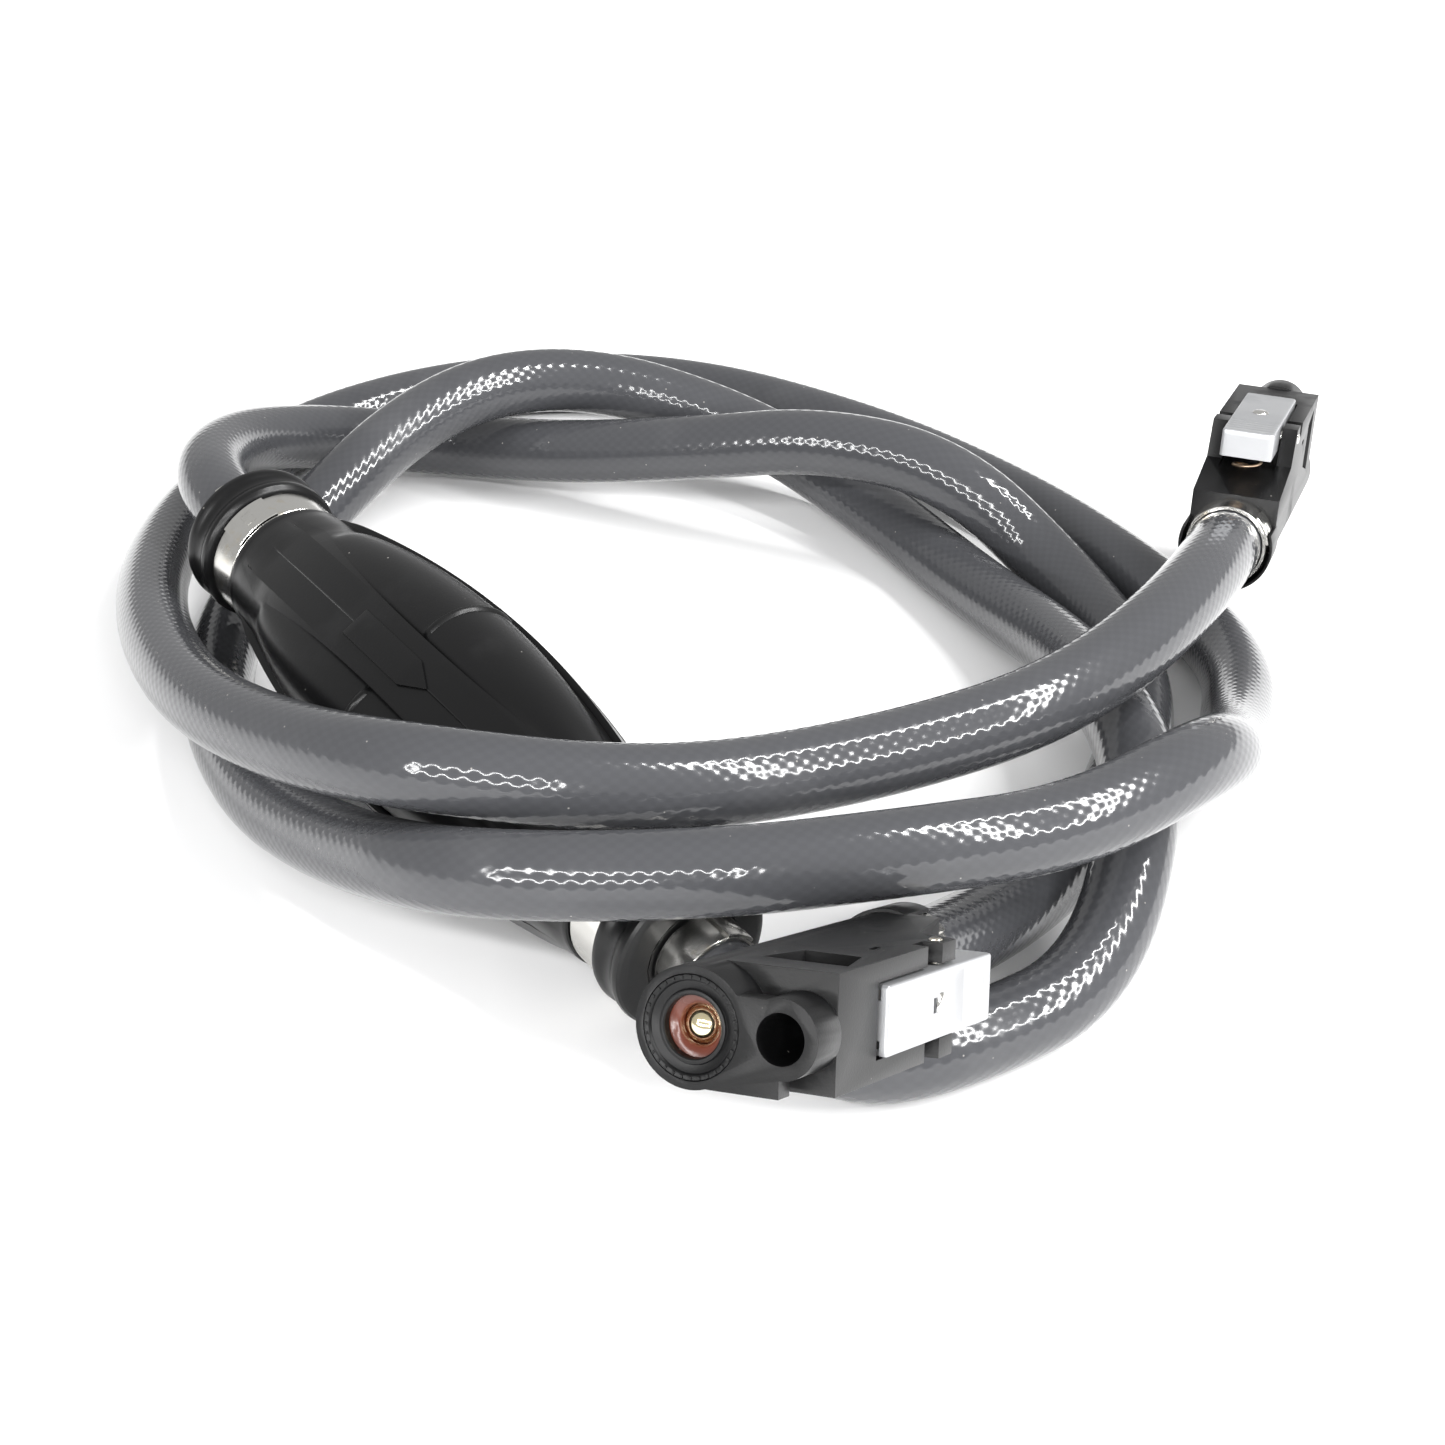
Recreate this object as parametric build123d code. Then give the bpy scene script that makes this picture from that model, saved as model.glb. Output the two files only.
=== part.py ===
"""Siphon bulb pump: a squeeze bulb with a check valve at each end, a tank hose and an engine hose.

Row frame, mm: X along the bulb from the tank end to the engine end, Z up, Z=0 is the surface it lies on.
"""
import math
import os

from build123d import *

# --- hose, 3/8 in fuel line -------------------------------------------------------------------
HOSE_D = 15.0
HOSE_BORE = 9.5
HOSE_R = HOSE_D / 2
HOSE_SIDES = 7
STEM_R = HOSE_BORE / 2 - 0.10
STEM_IN_HOSE = 10.5
BORE_CLEAR = 0.5
BEND_SHARE = 0.45

# --- bulb -------------------------------------------------------------------------------------
BULB_L = 165.0
BULB_HALF = BULB_L / 2
BULB_TILT = 5.0
BELLY_R = 23.2
BELLY_END_R = 17.5
BELLY_HALF = 52.0
BELLY_STEPS = 6
BULB_SIDES = 28
BAND_RISE = 0.2
BAND_W = 15.0
BAND_HALF = 49.0
RIB_RISE = 0.5
ARROW_RISE = 0.6
WALL = 3.2
COLLAR_R = 15.5
COLLAR_L = 9.5
LIP_R = 14.6
GROOVE_R = 13.2
GROOVE_L = 8.5
BULB_Z = 25.05

# --- check valves in the bulb's necks ---------------------------------------------------------
TURNED_SIDES = 16
NECK_FIT = 0.05
VALVE_R = 9.4
VALVE_L = 30.0
SEAT_AT = 9.0
CHAMBER_R = 6.6
CHAMBER_END = 25.0
PORT_R = 3.3
DISC_R = 5.4
DISC_L = 2.0
GUIDE_R = 1.5
GUIDE_L = 15.5
RUN_FIT = 0.06
FLOW_HOLE_R = 1.6

# --- band clamps ------------------------------------------------------------------------------
CLAMP_T = 0.8
CLAMP_W = 7.5
CLAMP_LAP = 0.6
CLAMP_FIT = 0.05

# --- quick connector: u runs to the mouth, v to the lever, w across ---------------------------
BARREL_R = 9.1
FACE_U = 67.0
BLOCK_U = 59.5
WEB_U = 63.5
HALF_W = 9.0
WALL_TOP = 19.8
GUIDE_V = 14.5
GUIDE_BORE_R = 3.85
GUIDE_BOSS_R = 6.0
GUIDE_DEPTH = 19.0
HOOK_WINDOW_R = 2.6
CHANNEL_HALF = 5.8
CHANNEL_FLOOR = 11.6
CHANNEL_END = 46.0
PIN_U = 21.5
PIN_V = 17.8
PIN_R = 1.2
LEVER_TOP = 21.2
LEVER_HALF = 5.4
LEVER_U0 = 6.7
LEVER_U1 = 45.3
LEVER_T = 1.0
FLANGE_V = 15.7
RIVET_U = 26.0
RIVET_R = 0.9
RIVET_HEAD_R = 1.6
LEVER_SPRING_U = 12.6
SEAL_U = 62.2
RETAINER_U = 65.0
RETAINER_R = 7.8
RETAINER_BORE_R = 4.6
SEAL_R = 6.5
SEAL_BORE_R = 3.0
BALL_R = 3.2
BALL_U = 61.87
BALL_SEAT_U = 45.0
STEM_SEAT_U = 14.0
FLOW_SLOT_L = 12.0
SKIRT_L = 8.0
SKIRT_R = 9.7
PRESS_FIT = 0.03
HOLE_FIT = 0.05

# --- where the two connectors lie: middle of the hose entry, then yaw, pitch and roll ---------
TANK_END = (115.5, 16.0, 28.0)
TANK_TURN = (-66.0, 23.0, 11.0)
ENGINE_END = (40.0, 165.5, 34.0)
ENGINE_TURN = (127.0, -11.0, 91.0)

# --- the way the two hoses lie, corner by corner between their end runs -----------------------
TANK_LEAD = 24.0
TANK_TAIL = 45.0
TANK_ROUTE = [
    (-139, 21, 27), (-155, 52, 15), (-148, 80, 8), (-115, 98, 13), (-84, 117, 21),
    (-60, 133, 28), (-32, 149, 27), (-6, 161, 7.7), (40, 144, 7.7), (76, 106, 7.7),
]
ENGINE_LEAD = 20.0
ENGINE_TAIL = 44.0
ENGINE_ROUTE = [
    (114, 12, 8), (119, 31, 7.8), (118, 63, 7.8), (95, 93, 24), (68, 110, 24.5),
    (28, 130, 14), (-10, 140, 7.7), (-62, 148, 7.7), (-99, 140, 16), (-124, 107, 29),
    (-129, 69, 29), (-114, 17, 7.7), (-72, -18, 7.7), (-22, -34, 11), (24, -38, 23),
    (70, -38, 41.5), (95, -6, 43), (107, 26, 42), (114, 58, 39), (109, 93, 39),
    (87, 124, 19), (46, 166, 7.7), (0, 175, 7.7), (-40, 178, 7.7), (-90, 173, 7.7),
    (-146, 152, 7.7), (-175, 108, 7.7), (-175, 58, 7.7), (-149, 14, 7.7), (-97, -20, 17),
    (-38, -39, 28), (12, -42, 40.5), (54, -34, 52.5), (73, 0, 45.5), (79, 42, 41), (82, 84, 41),
]

os.makedirs("parts", exist_ok=True)


def rod(radius, u0, u1, v=0.0, w=0.0):
    """A cylinder along X from u0 to u1."""
    return Pos((u0 + u1) / 2, v, w) * Rot(0, 90, 0) * Cylinder(radius, u1 - u0)


def prism(radius, u0, u1, v=0.0, w=0.0, sides=TURNED_SIDES, hole=False):
    """A many-sided rod along X inside a round of this radius, or a hole that lets that round in."""
    end_face = Plane(origin=(u0, v, w), z_dir=(1, 0, 0)) * RegularPolygon(radius, sides, major_radius=not hole)
    return extrude(end_face, u1 - u0, dir=(1, 0, 0))


def swelling(points, sides):
    """A round of an even number of flat sides about X through (x, radius) stations, radius to its corners."""
    flat_share = math.cos(math.pi / sides)
    side = [(x, r * flat_share) for x, r in points]
    outline = make_face(Polyline(*side, *[(x, -r) for x, r in reversed(side)], close=True))
    slab = extrude(outline, 2 * max(r for _, r in side), both=True)
    shape = slab
    for step in range(1, sides // 2):
        shape &= Rot(360 * step / sides, 0, 0) * slab
    return shape


def cross_rod(radius, u, v, w0, w1):
    """A cylinder along Z, across a connector."""
    return Pos(u, v, (w0 + w1) / 2) * Cylinder(radius, w1 - w0)


def block(u0, u1, v0, v1, w0, w1):
    """A box between two corners."""
    return Pos((u0 + u1) / 2, (v0 + v1) / 2, (w0 + w1) / 2) * Box(u1 - u0, v1 - v0, w1 - w0)


def coil(radius, wire, length, turns, steps=6, name=None):
    """A compression spring of square wire along Z from the origin, one unbroken length."""
    corners = [
        (
            radius * math.cos(math.tau * step / steps),
            radius * math.sin(math.tau * step / steps),
            wire / 2 + (length - wire) * step / (turns * steps),
        )
        for step in range(round(turns * steps) + 1)
    ]
    path = Polyline(*corners)
    if name:
        print(name, "least gap to itself", round(least_self_gap(path, 0.5, math.pi * radius, wire), 2))
    start = Plane(path @ 0, x_dir=(1, 0, 0), z_dir=path % 0)
    return sweep(start * Rectangle(wire, wire), path=path, transition=Transition.RIGHT)


def band_clamp(inner_r, x0, lap_angle):
    """A flat band clamp round X with its lapped end at lap_angle from +Y."""
    outer_r = inner_r + CLAMP_T
    hole = prism(inner_r, x0, x0 + CLAMP_W, sides=BULB_SIDES, hole=True)
    side = outer_r * 0.7
    window = Rot(lap_angle, 0, 0) * block(x0, x0 + CLAMP_W, outer_r / 2, outer_r * 2, -side / 2, side / 2)
    lap = prism(outer_r + CLAMP_LAP, x0, x0 + CLAMP_W, sides=BULB_SIDES, hole=True) & window
    return prism(outer_r, x0, x0 + CLAMP_W, sides=BULB_SIDES, hole=True) + lap - hole


def in_bulb(shape):
    """From the bulb's own frame to the row frame."""
    return Pos(0, 0, BULB_Z) * Rot(0, BULB_TILT, 0) * shape


def in_connector(end, turn, shape):
    """From a connector's own frame to the row frame."""
    yaw, pitch, roll = turn
    return Pos(*end) * Rot(0, 0, yaw) * Rot(0, -pitch, 0) * Rot(roll, 0, 0) * shape


def bulb_port(side, out):
    """A point on the bulb's axis, `out` mm beyond the collar on one side."""
    along = side * (BULB_HALF + out)
    tilt = math.radians(BULB_TILT)
    return (along * math.cos(tilt), 0.0, BULB_Z - along * math.sin(tilt))


def behind(end, turn, distance):
    """A point on a connector's hose axis behind its hose entry."""
    yaw, pitch = math.radians(turn[0]), math.radians(turn[1])
    way = (math.cos(pitch) * math.cos(yaw), math.cos(pitch) * math.sin(yaw), math.sin(pitch))
    return tuple(e - distance * d for e, d in zip(end, way))


def bend_radii(points):
    """Tangent arc radii that keep a straight between neighbouring bends."""
    radii = []
    for before, here, after in zip(points, points[1:], points[2:]):
        first = Vector(*here) - Vector(*before)
        second = Vector(*after) - Vector(*here)
        half_turn = math.radians(first.get_angle(second)) / 2
        radii.append(BEND_SHARE * min(first.length, second.length) / math.tan(half_turn))
    return radii


def least_self_gap(path, step, apart, width):
    """The least gap between two stretches of one tube of this width, at least apart from each other along it."""
    count = int(path.length / step)
    spots = [path @ (i / count) for i in range(count + 1)]
    skip = int(apart / step)
    best = min(
        (spots[i] - spots[j]).length for i in range(len(spots)) for j in range(i + skip, len(spots))
    )
    return best - width


def hose(name, points):
    """A hose along straight runs joined by tangent arcs, bored at both ends for what plugs into it."""
    radii = bend_radii(points)
    path = FilletPolyline(*points, radius=radii)
    skin = sweep(Plane(path @ 0, z_dir=path % 0) * RegularPolygon(HOSE_R, HOSE_SIDES), path=path)
    section = HOSE_SIDES / 2 * HOSE_R**2 * math.sin(math.tau / HOSE_SIDES)
    print(name, "length", round(path.length), "bend radii", [round(r) for r in radii])
    print(name, "volume / section x length", round(skin.volume / (section * path.length), 4))
    print(name, "least gap to itself", round(least_self_gap(path, 4, 3 * HOSE_D, HOSE_D), 2))
    for mouth, inward in ((path @ 0, path % 0), (path @ 1, -(path % 1))):
        bore = RegularPolygon(HOSE_BORE / 2, TURNED_SIDES, major_radius=False)
        skin -= extrude(Plane(mouth, z_dir=inward) * bore, STEM_IN_HOSE + BORE_CLEAR)
    return skin


# --- bulb body --------------------------------------------------------------------------------
neck_x = BULB_HALF - COLLAR_L
lip_x = neck_x - GROOVE_L


def belly_r(x):
    """The belly's radius at x."""
    return BELLY_R - (BELLY_R - BELLY_END_R) * (x / BELLY_HALF) ** 2


def belly_line(half, inset, steps):
    """The belly's side from one end to the other, moved in by inset."""
    stations = [half * (2 * step / steps - 1) for step in range(steps + 1)]
    return [(x, belly_r(x) - inset) for x in stations]


def belly_slab(rise, width):
    """A slab of the belly's side view, rise proud of it, width thick."""
    side = belly_line(BAND_HALF, -rise, BELLY_STEPS)
    outline = side + [(x, -r) for x, r in reversed(side)]
    return Pos(0, width / 2, 0) * Rot(90, 0, 0) * extrude(make_face(Polyline(*outline, close=True)), width)


belly = swelling([(-lip_x, LIP_R), *belly_line(BELLY_HALF, 0, BELLY_STEPS), (lip_x, LIP_R)], BULB_SIDES)
strips = belly_slab(BAND_RISE, BAND_W)
strips += Rot(90, 0, 0) * strips
rib = rod(BELLY_R + RIB_RISE, -0.8, 0.8) - block(-1, 1, -40, 40, -BAND_W / 2, BAND_W / 2)
rib -= block(-1, 1, -BAND_W / 2, BAND_W / 2, -40, 40)
arrow = Polyline((-27, 2.2), (-4, 2.2), (-4, 4.8), (5, 0), (-4, -4.8), (-4, -2.2), (-27, -2.2), close=True)
arrow_mark = belly_slab(BAND_RISE + ARROW_RISE, BAND_W) & extrude(make_face(arrow), 40)
cavity = swelling(belly_line(BELLY_HALF - 4, WALL, 4), TURNED_SIDES)
neck = prism(GROOVE_R, lip_x, neck_x, sides=BULB_SIDES)
neck += swelling([(neck_x, COLLAR_R), (BULB_HALF - 0.8, COLLAR_R), (BULB_HALF, COLLAR_R - 0.8)], BULB_SIDES)
neck_bore = prism(VALVE_R + NECK_FIT, BELLY_HALF - 5, BULB_HALF, hole=True)
bulb_body = belly + strips + rib + arrow_mark + neck + mirror(neck, Plane.YZ)
bulb_body = bulb_body - cavity - neck_bore - mirror(neck_bore, Plane.YZ)


# --- check valves: s runs with the flow from the valve body's upstream face -------------------
def valve_body(barb_first):
    """A plug with a seat, a poppet chamber, a guide wall and a hose barb on one side."""
    plug = prism(VALVE_R, 0, VALVE_L) - prism(PORT_R, 0, SEAT_AT)
    plug -= prism(CHAMBER_R, SEAT_AT, CHAMBER_END) + prism(GUIDE_R + RUN_FIT, CHAMBER_END, VALVE_L, hole=True)
    for spot in PolarLocations((GUIDE_R + CHAMBER_R) / 2, 3):
        plug -= prism(FLOW_HOLE_R, CHAMBER_END, VALVE_L, spot.position.X, spot.position.Y, sides=8)
    if barb_first:
        return plug + mirror(hose_barb(), Plane.YZ)
    plug -= prism(CHAMBER_R, VALVE_L - 3, VALVE_L)
    rim = prism(CHAMBER_R + 0.2, VALVE_L - 1.2, VALVE_L) - prism(PORT_R, VALVE_L - 1.2, VALVE_L)
    return plug + rim + Pos(VALVE_L, 0, 0) * hose_barb()


def hose_barb():
    """A hollow spigot with one barb at its tip, along X from the origin."""
    barb = swelling([(STEM_IN_HOSE - 3, STEM_R), (STEM_IN_HOSE, STEM_R - 0.5)], TURNED_SIDES)
    spigot = prism(STEM_R - 0.4, 0, STEM_IN_HOSE - 3)
    return barb + spigot - prism(PORT_R, 0, STEM_IN_HOSE)


def poppet():
    """A disc on a guide stem, shut against its seat."""
    stem = prism(GUIDE_R, SEAT_AT + DISC_L, SEAT_AT + DISC_L + GUIDE_L)
    return prism(DISC_R, SEAT_AT, SEAT_AT + DISC_L) + stem


def valve_spring():
    """The light spring between a poppet's disc and the guide wall."""
    room = CHAMBER_END - SEAT_AT - DISC_L
    return Pos(SEAT_AT + DISC_L, 0, 0) * Rot(0, 90, 0) * coil(3.0, 0.6, room, 4)


inlet_at = Pos(-BULB_HALF, 0, 0)
outlet_at = Pos(BULB_HALF - VALVE_L, 0, 0)
neck_clamp_x = lip_x + (GROOVE_L - CLAMP_W) / 2


# --- quick connector --------------------------------------------------------------------------
def connector_parts():
    """The solids of one quick connector in its own frame."""
    walls = Polyline(
        (0, 0), (0, 9), (16, 12.6), (19, 20.2), (24, 20.2), (24.6, 17), (28.5, 17),
        (28.5, WALL_TOP), (BLOCK_U, WALL_TOP), (BLOCK_U, 0), close=True,
    )
    housing = Pos(0, 0, -HALF_W) * extrude(make_face(walls), 2 * HALF_W)
    housing += rod(BARREL_R, 0, FACE_U) + rod(GUIDE_BOSS_R, BLOCK_U, FACE_U, GUIDE_V)
    housing += block(WEB_U, FACE_U, 0, GUIDE_V, -8.7, 5.5)
    skirt = rod(SKIRT_R, -SKIRT_L, 1.5)
    skirt -= prism(HOSE_R + CLAMP_T + CLAMP_LAP + 0.2, -SKIRT_L, 0, sides=BULB_SIDES, hole=True)
    housing += skirt - block(-SKIRT_L, 1.5, 3.5, 12, -12, 12)
    housing -= block(-SKIRT_L, CHANNEL_END, CHANNEL_FLOOR, 25, -CHANNEL_HALF, CHANNEL_HALF)
    housing -= rod(GUIDE_BORE_R, FACE_U - GUIDE_DEPTH, FACE_U, GUIDE_V)
    housing -= prism(HOOK_WINDOW_R, CHANNEL_END, FACE_U - GUIDE_DEPTH, GUIDE_V)
    housing -= rod(RETAINER_R + HOLE_FIT, RETAINER_U, FACE_U)
    housing -= prism(SEAL_R + HOLE_FIT, SEAL_U, RETAINER_U, hole=True)
    housing -= prism(BALL_R + RUN_FIT, BALL_SEAT_U, SEAL_U, hole=True) + prism(2.4, STEM_SEAT_U, BALL_SEAT_U)
    housing -= prism(STEM_R + 0.05 + PRESS_FIT, 0, STEM_SEAT_U, hole=True)
    for angle in (90, 210, 330):
        housing -= Rot(angle, 0, 0) * block(SEAL_U - FLOW_SLOT_L, SEAL_U, 0, BALL_R + 0.9, -0.9, 0.9)
    pocket = Polyline((44, 6.5), (44, 16), (53, 18), (53, 4), close=True)
    housing -= Pos(0, 0, HALF_W - 3) * extrude(make_face(pocket), 4)
    housing -= block(34, 37, 13.5, 14.5, HALF_W - 1, HALF_W + 1)
    housing -= cross_rod(PIN_R + PRESS_FIT, PIN_U, PIN_V, -HALF_W, HALF_W)

    lever = block(LEVER_U0, LEVER_U1, LEVER_TOP - LEVER_T, LEVER_TOP, -LEVER_HALF, LEVER_HALF)
    flange_u = (LEVER_U0 + 4, LEVER_U1 - 2)
    for side in (-1, 1):
        edges = sorted((side * (LEVER_HALF - LEVER_T), side * LEVER_HALF))
        lever += block(*flange_u, FLANGE_V, LEVER_TOP, *edges)
    lever += block(LEVER_U0, LEVER_U0 + LEVER_T, FLANGE_V - 0.3, LEVER_TOP, -LEVER_HALF, LEVER_HALF)
    lever += block(LEVER_U1 - LEVER_T, LEVER_U1, FLANGE_V, LEVER_TOP, -3, 3)
    for groove in range(5):
        u = LEVER_U0 + 2.4 + 2 * groove
        lever -= block(u - 0.4, u + 0.4, LEVER_TOP - 0.3, LEVER_TOP + 1, -LEVER_HALF, LEVER_HALF)
    pin_hole = Rot(0, 90, 0) * prism(PIN_R + HOLE_FIT, -LEVER_HALF, LEVER_HALF, hole=True)
    lever -= Pos(PIN_U, PIN_V, 0) * pin_hole
    rivet_hole = prism(RIVET_R + PRESS_FIT, LEVER_TOP - 2, LEVER_TOP + 1, hole=True)
    lever -= Pos(RIVET_U, 0, 0) * Rot(0, 0, 90) * rivet_hole

    shank = prism(RIVET_R, LEVER_TOP - LEVER_T - 0.6, LEVER_TOP + 0.5)
    heads = prism(RIVET_HEAD_R, LEVER_TOP, LEVER_TOP + 0.5)
    heads += prism(RIVET_HEAD_R, LEVER_TOP - LEVER_T - 0.6, LEVER_TOP - LEVER_T)
    rivet = Pos(RIVET_U, 0, 0) * Rot(0, 0, 90) * (shank + heads)
    pin = cross_rod(PIN_R, PIN_U, PIN_V, -HALF_W - 0.3, HALF_W + 0.3)
    lever_room = LEVER_TOP - LEVER_T - CHANNEL_FLOOR
    lever_coil = coil(2.9, 0.7, lever_room, 3.5, 12, "lever spring")
    lever_spring = Pos(LEVER_SPRING_U, CHANNEL_FLOOR, 0) * Rot(-90, 0, 0) * lever_coil

    retainer = prism(RETAINER_R, RETAINER_U, FACE_U, sides=BULB_SIDES) - rod(RETAINER_BORE_R, RETAINER_U, FACE_U)
    seal = prism(SEAL_R, SEAL_U, RETAINER_U) - prism(SEAL_BORE_R + 0.4, SEAL_U, SEAL_U + 0.8, hole=True)
    seal -= prism(SEAL_BORE_R, SEAL_U + 0.8, SEAL_U + 1.8, hole=True)
    seal -= prism(SEAL_BORE_R + 1.0, SEAL_U + 1.8, RETAINER_U, hole=True)
    latitudes = [math.radians(angle) for angle in (-75, -50, -25, 0, 25, 50, 75)]
    ball_side = [(BALL_U + BALL_R * math.sin(a), BALL_R * math.cos(a)) for a in latitudes]
    ball = swelling(ball_side, TURNED_SIDES)
    ball_spring = Pos(BALL_SEAT_U, 0, 0) * Rot(0, 90, 0)
    ball_spring = ball_spring * coil(2.3, 0.6, BALL_U - BALL_R - BALL_SEAT_U + 0.65, 5)
    stem = prism(STEM_R + 0.05, 0, STEM_SEAT_U) - prism(PORT_R, 0, STEM_SEAT_U)
    stem += mirror(hose_barb(), Plane.YZ)
    hose_band = band_clamp(HOSE_R + CLAMP_FIT, -CLAMP_W - 0.3, 60)
    return {
        "housing": housing, "seal_retainer": retainer, "port_seal": seal, "check_ball": ball,
        "ball_spring": ball_spring, "hose_stem": stem, "hose_band": hose_band,
        "latch_lever": lever, "lever_pin": pin, "lever_spring": lever_spring, "lever_rivet": rivet,
    }


tank_points = [bulb_port(-1, 0), bulb_port(-1, TANK_LEAD), *TANK_ROUTE]
tank_points += [behind(TANK_END, TANK_TURN, TANK_TAIL), TANK_END]
engine_points = [bulb_port(1, 0), bulb_port(1, ENGINE_LEAD), *ENGINE_ROUTE]
engine_points += [behind(ENGINE_END, ENGINE_TURN, ENGINE_TAIL), ENGINE_END]

parts = {
    "bulb_body": in_bulb(bulb_body),
    "inlet_valve_body": in_bulb(inlet_at * valve_body(True)),
    "inlet_poppet": in_bulb(inlet_at * poppet()),
    "inlet_valve_spring": in_bulb(inlet_at * valve_spring()),
    "outlet_valve_body": in_bulb(outlet_at * valve_body(False)),
    "outlet_poppet": in_bulb(outlet_at * poppet()),
    "outlet_valve_spring": in_bulb(outlet_at * valve_spring()),
    "inlet_neck_clamp": in_bulb(band_clamp(GROOVE_R + CLAMP_FIT, -neck_clamp_x - CLAMP_W, 120)),
    "outlet_neck_clamp": in_bulb(band_clamp(GROOVE_R + CLAMP_FIT, neck_clamp_x, 60)),
    "inlet_hose_clamp": in_bulb(band_clamp(HOSE_R + CLAMP_FIT, -BULB_HALF - 0.4 - CLAMP_W, 100)),
    "outlet_hose_clamp": in_bulb(band_clamp(HOSE_R + CLAMP_FIT, BULB_HALF + 0.4, 60)),
    "tank_hose": hose("tank_hose", tank_points),
    "engine_hose": hose("engine_hose", engine_points),
}
for label, end, turn in (("tank", TANK_END, TANK_TURN), ("engine", ENGINE_END, ENGINE_TURN)):
    for name, shape in connector_parts().items():
        parts[f"{label}_connector_{name}"] = in_connector(end, turn, shape)

for name, shape in parts.items():
    solids = shape.solids()
    if len(solids) != 1:
        print("CHECK", name, "has", len(solids), "solids")
    export_step(solids[0], f"parts/{name}.step")
print(len(parts), "parts")
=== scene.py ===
"""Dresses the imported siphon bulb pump: rubber bulb, two fuel hoses, crimped bands and two quick connectors.

Sizes are in millimetres and turned into metres as each mesh is placed.
"""

from __future__ import annotations

import logging
import math
from dataclasses import dataclass, field
from enum import Enum
from typing import Callable, Sequence

import bmesh
import bpy
from mathutils import Matrix, Vector

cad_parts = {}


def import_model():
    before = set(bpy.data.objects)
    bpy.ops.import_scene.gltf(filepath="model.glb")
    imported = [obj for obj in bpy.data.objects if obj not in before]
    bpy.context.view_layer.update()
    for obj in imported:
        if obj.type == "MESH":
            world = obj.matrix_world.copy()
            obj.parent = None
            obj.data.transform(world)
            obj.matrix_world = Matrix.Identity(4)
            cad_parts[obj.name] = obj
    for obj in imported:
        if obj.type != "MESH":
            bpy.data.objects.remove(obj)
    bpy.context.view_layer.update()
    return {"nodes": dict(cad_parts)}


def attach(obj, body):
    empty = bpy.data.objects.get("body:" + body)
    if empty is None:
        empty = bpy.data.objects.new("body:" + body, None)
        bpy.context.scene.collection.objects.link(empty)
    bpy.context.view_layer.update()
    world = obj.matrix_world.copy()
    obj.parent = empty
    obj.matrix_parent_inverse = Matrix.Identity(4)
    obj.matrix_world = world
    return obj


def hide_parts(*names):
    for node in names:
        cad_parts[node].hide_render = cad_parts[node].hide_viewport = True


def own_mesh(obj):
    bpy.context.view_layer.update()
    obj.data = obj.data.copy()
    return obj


LOG = logging.getLogger("siphon_pump")
MM = 0.001
Point = tuple[float, float, float]
Station = tuple[float, float]
Colour = tuple[float, float, float, float]
Socket = bpy.types.NodeSocket
Draw = Callable[["Tree", dict[str, bpy.types.NodeSocket]], bpy.types.NodeSocket]


class Body(Enum):
    """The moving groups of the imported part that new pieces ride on."""

    ASSEMBLY = "assembly"
    TANK_LATCH = "tank_latch"
    ENGINE_LATCH = "engine_latch"
    TANK_BALL = "tank_check_ball"
    ENGINE_BALL = "engine_check_ball"


# --- shader helpers ---------------------------------------------------------------------------


@dataclass
class Tree:
    """A thin layer over a node tree that adds nodes and links in one call.

    Args:
        nodes: The tree's nodes.
        links: The tree's links.
    """

    nodes: bpy.types.Nodes
    links: bpy.types.NodeLinks

    def add(
        self, kind: str, inputs: dict[str | int, object] | None = None, **settings: object,
    ) -> bpy.types.Node:
        """Adds a node, sets its properties and feeds its inputs.

        Args:
            kind: The node's bl_idname.
            inputs: Sockets or plain values by the input's name or number.
            **settings: Properties by name.

        Returns:
            The new node.
        """
        node = self.nodes.new(kind)
        for name, value in settings.items():
            setattr(node, name, value)
        for name, source in (inputs or {}).items():
            self.feed(node, name, source)
        return node

    def feed(self, node: bpy.types.Node, name: str | int, source: object) -> None:
        """Links a socket, or a plain value, into a node's input.

        Args:
            node: The node.
            name: The input's name or number.
            source: A socket or a plain value.
        """
        socket = node.inputs[name]
        if isinstance(source, bpy.types.NodeSocket):
            self.links.new(source, socket)
        else:
            socket.default_value = source

    def math(self, operation: str, *values: object) -> Socket:
        """The result of a Math node on one or two values or sockets."""
        return self.add("ShaderNodeMath", dict(enumerate(values)), operation=operation).outputs[0]

    def noise(self, vector: Socket, scale: object, detail: float = 2.0, roughness: float = 0.5) -> Socket:
        """The value of a noise texture."""
        look = {"Vector": vector, "Scale": scale, "Detail": detail, "Roughness": roughness}
        return self.add("ShaderNodeTexNoise", look).outputs["Fac"]

    def ramp(
        self, source: object, low: object, high: object, to_low: float = 0.0, to_high: float = 1.0,
    ) -> Socket:
        """A smooth, clamped map of the range from low to high onto the one from to_low to to_high."""
        ends = {"Value": source, "From Min": low, "From Max": high, "To Min": to_low, "To Max": to_high}
        return self.add("ShaderNodeMapRange", ends, interpolation_type="SMOOTHSTEP").outputs["Result"]

    def blend(self, mask: object, first: object, second: object) -> Socket:
        """A colour between two: the first where the mask is 0, the second where it is 1."""
        return self.add("ShaderNodeMix", {0: mask, 6: first, 7: second}, data_type="RGBA").outputs[2]


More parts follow.
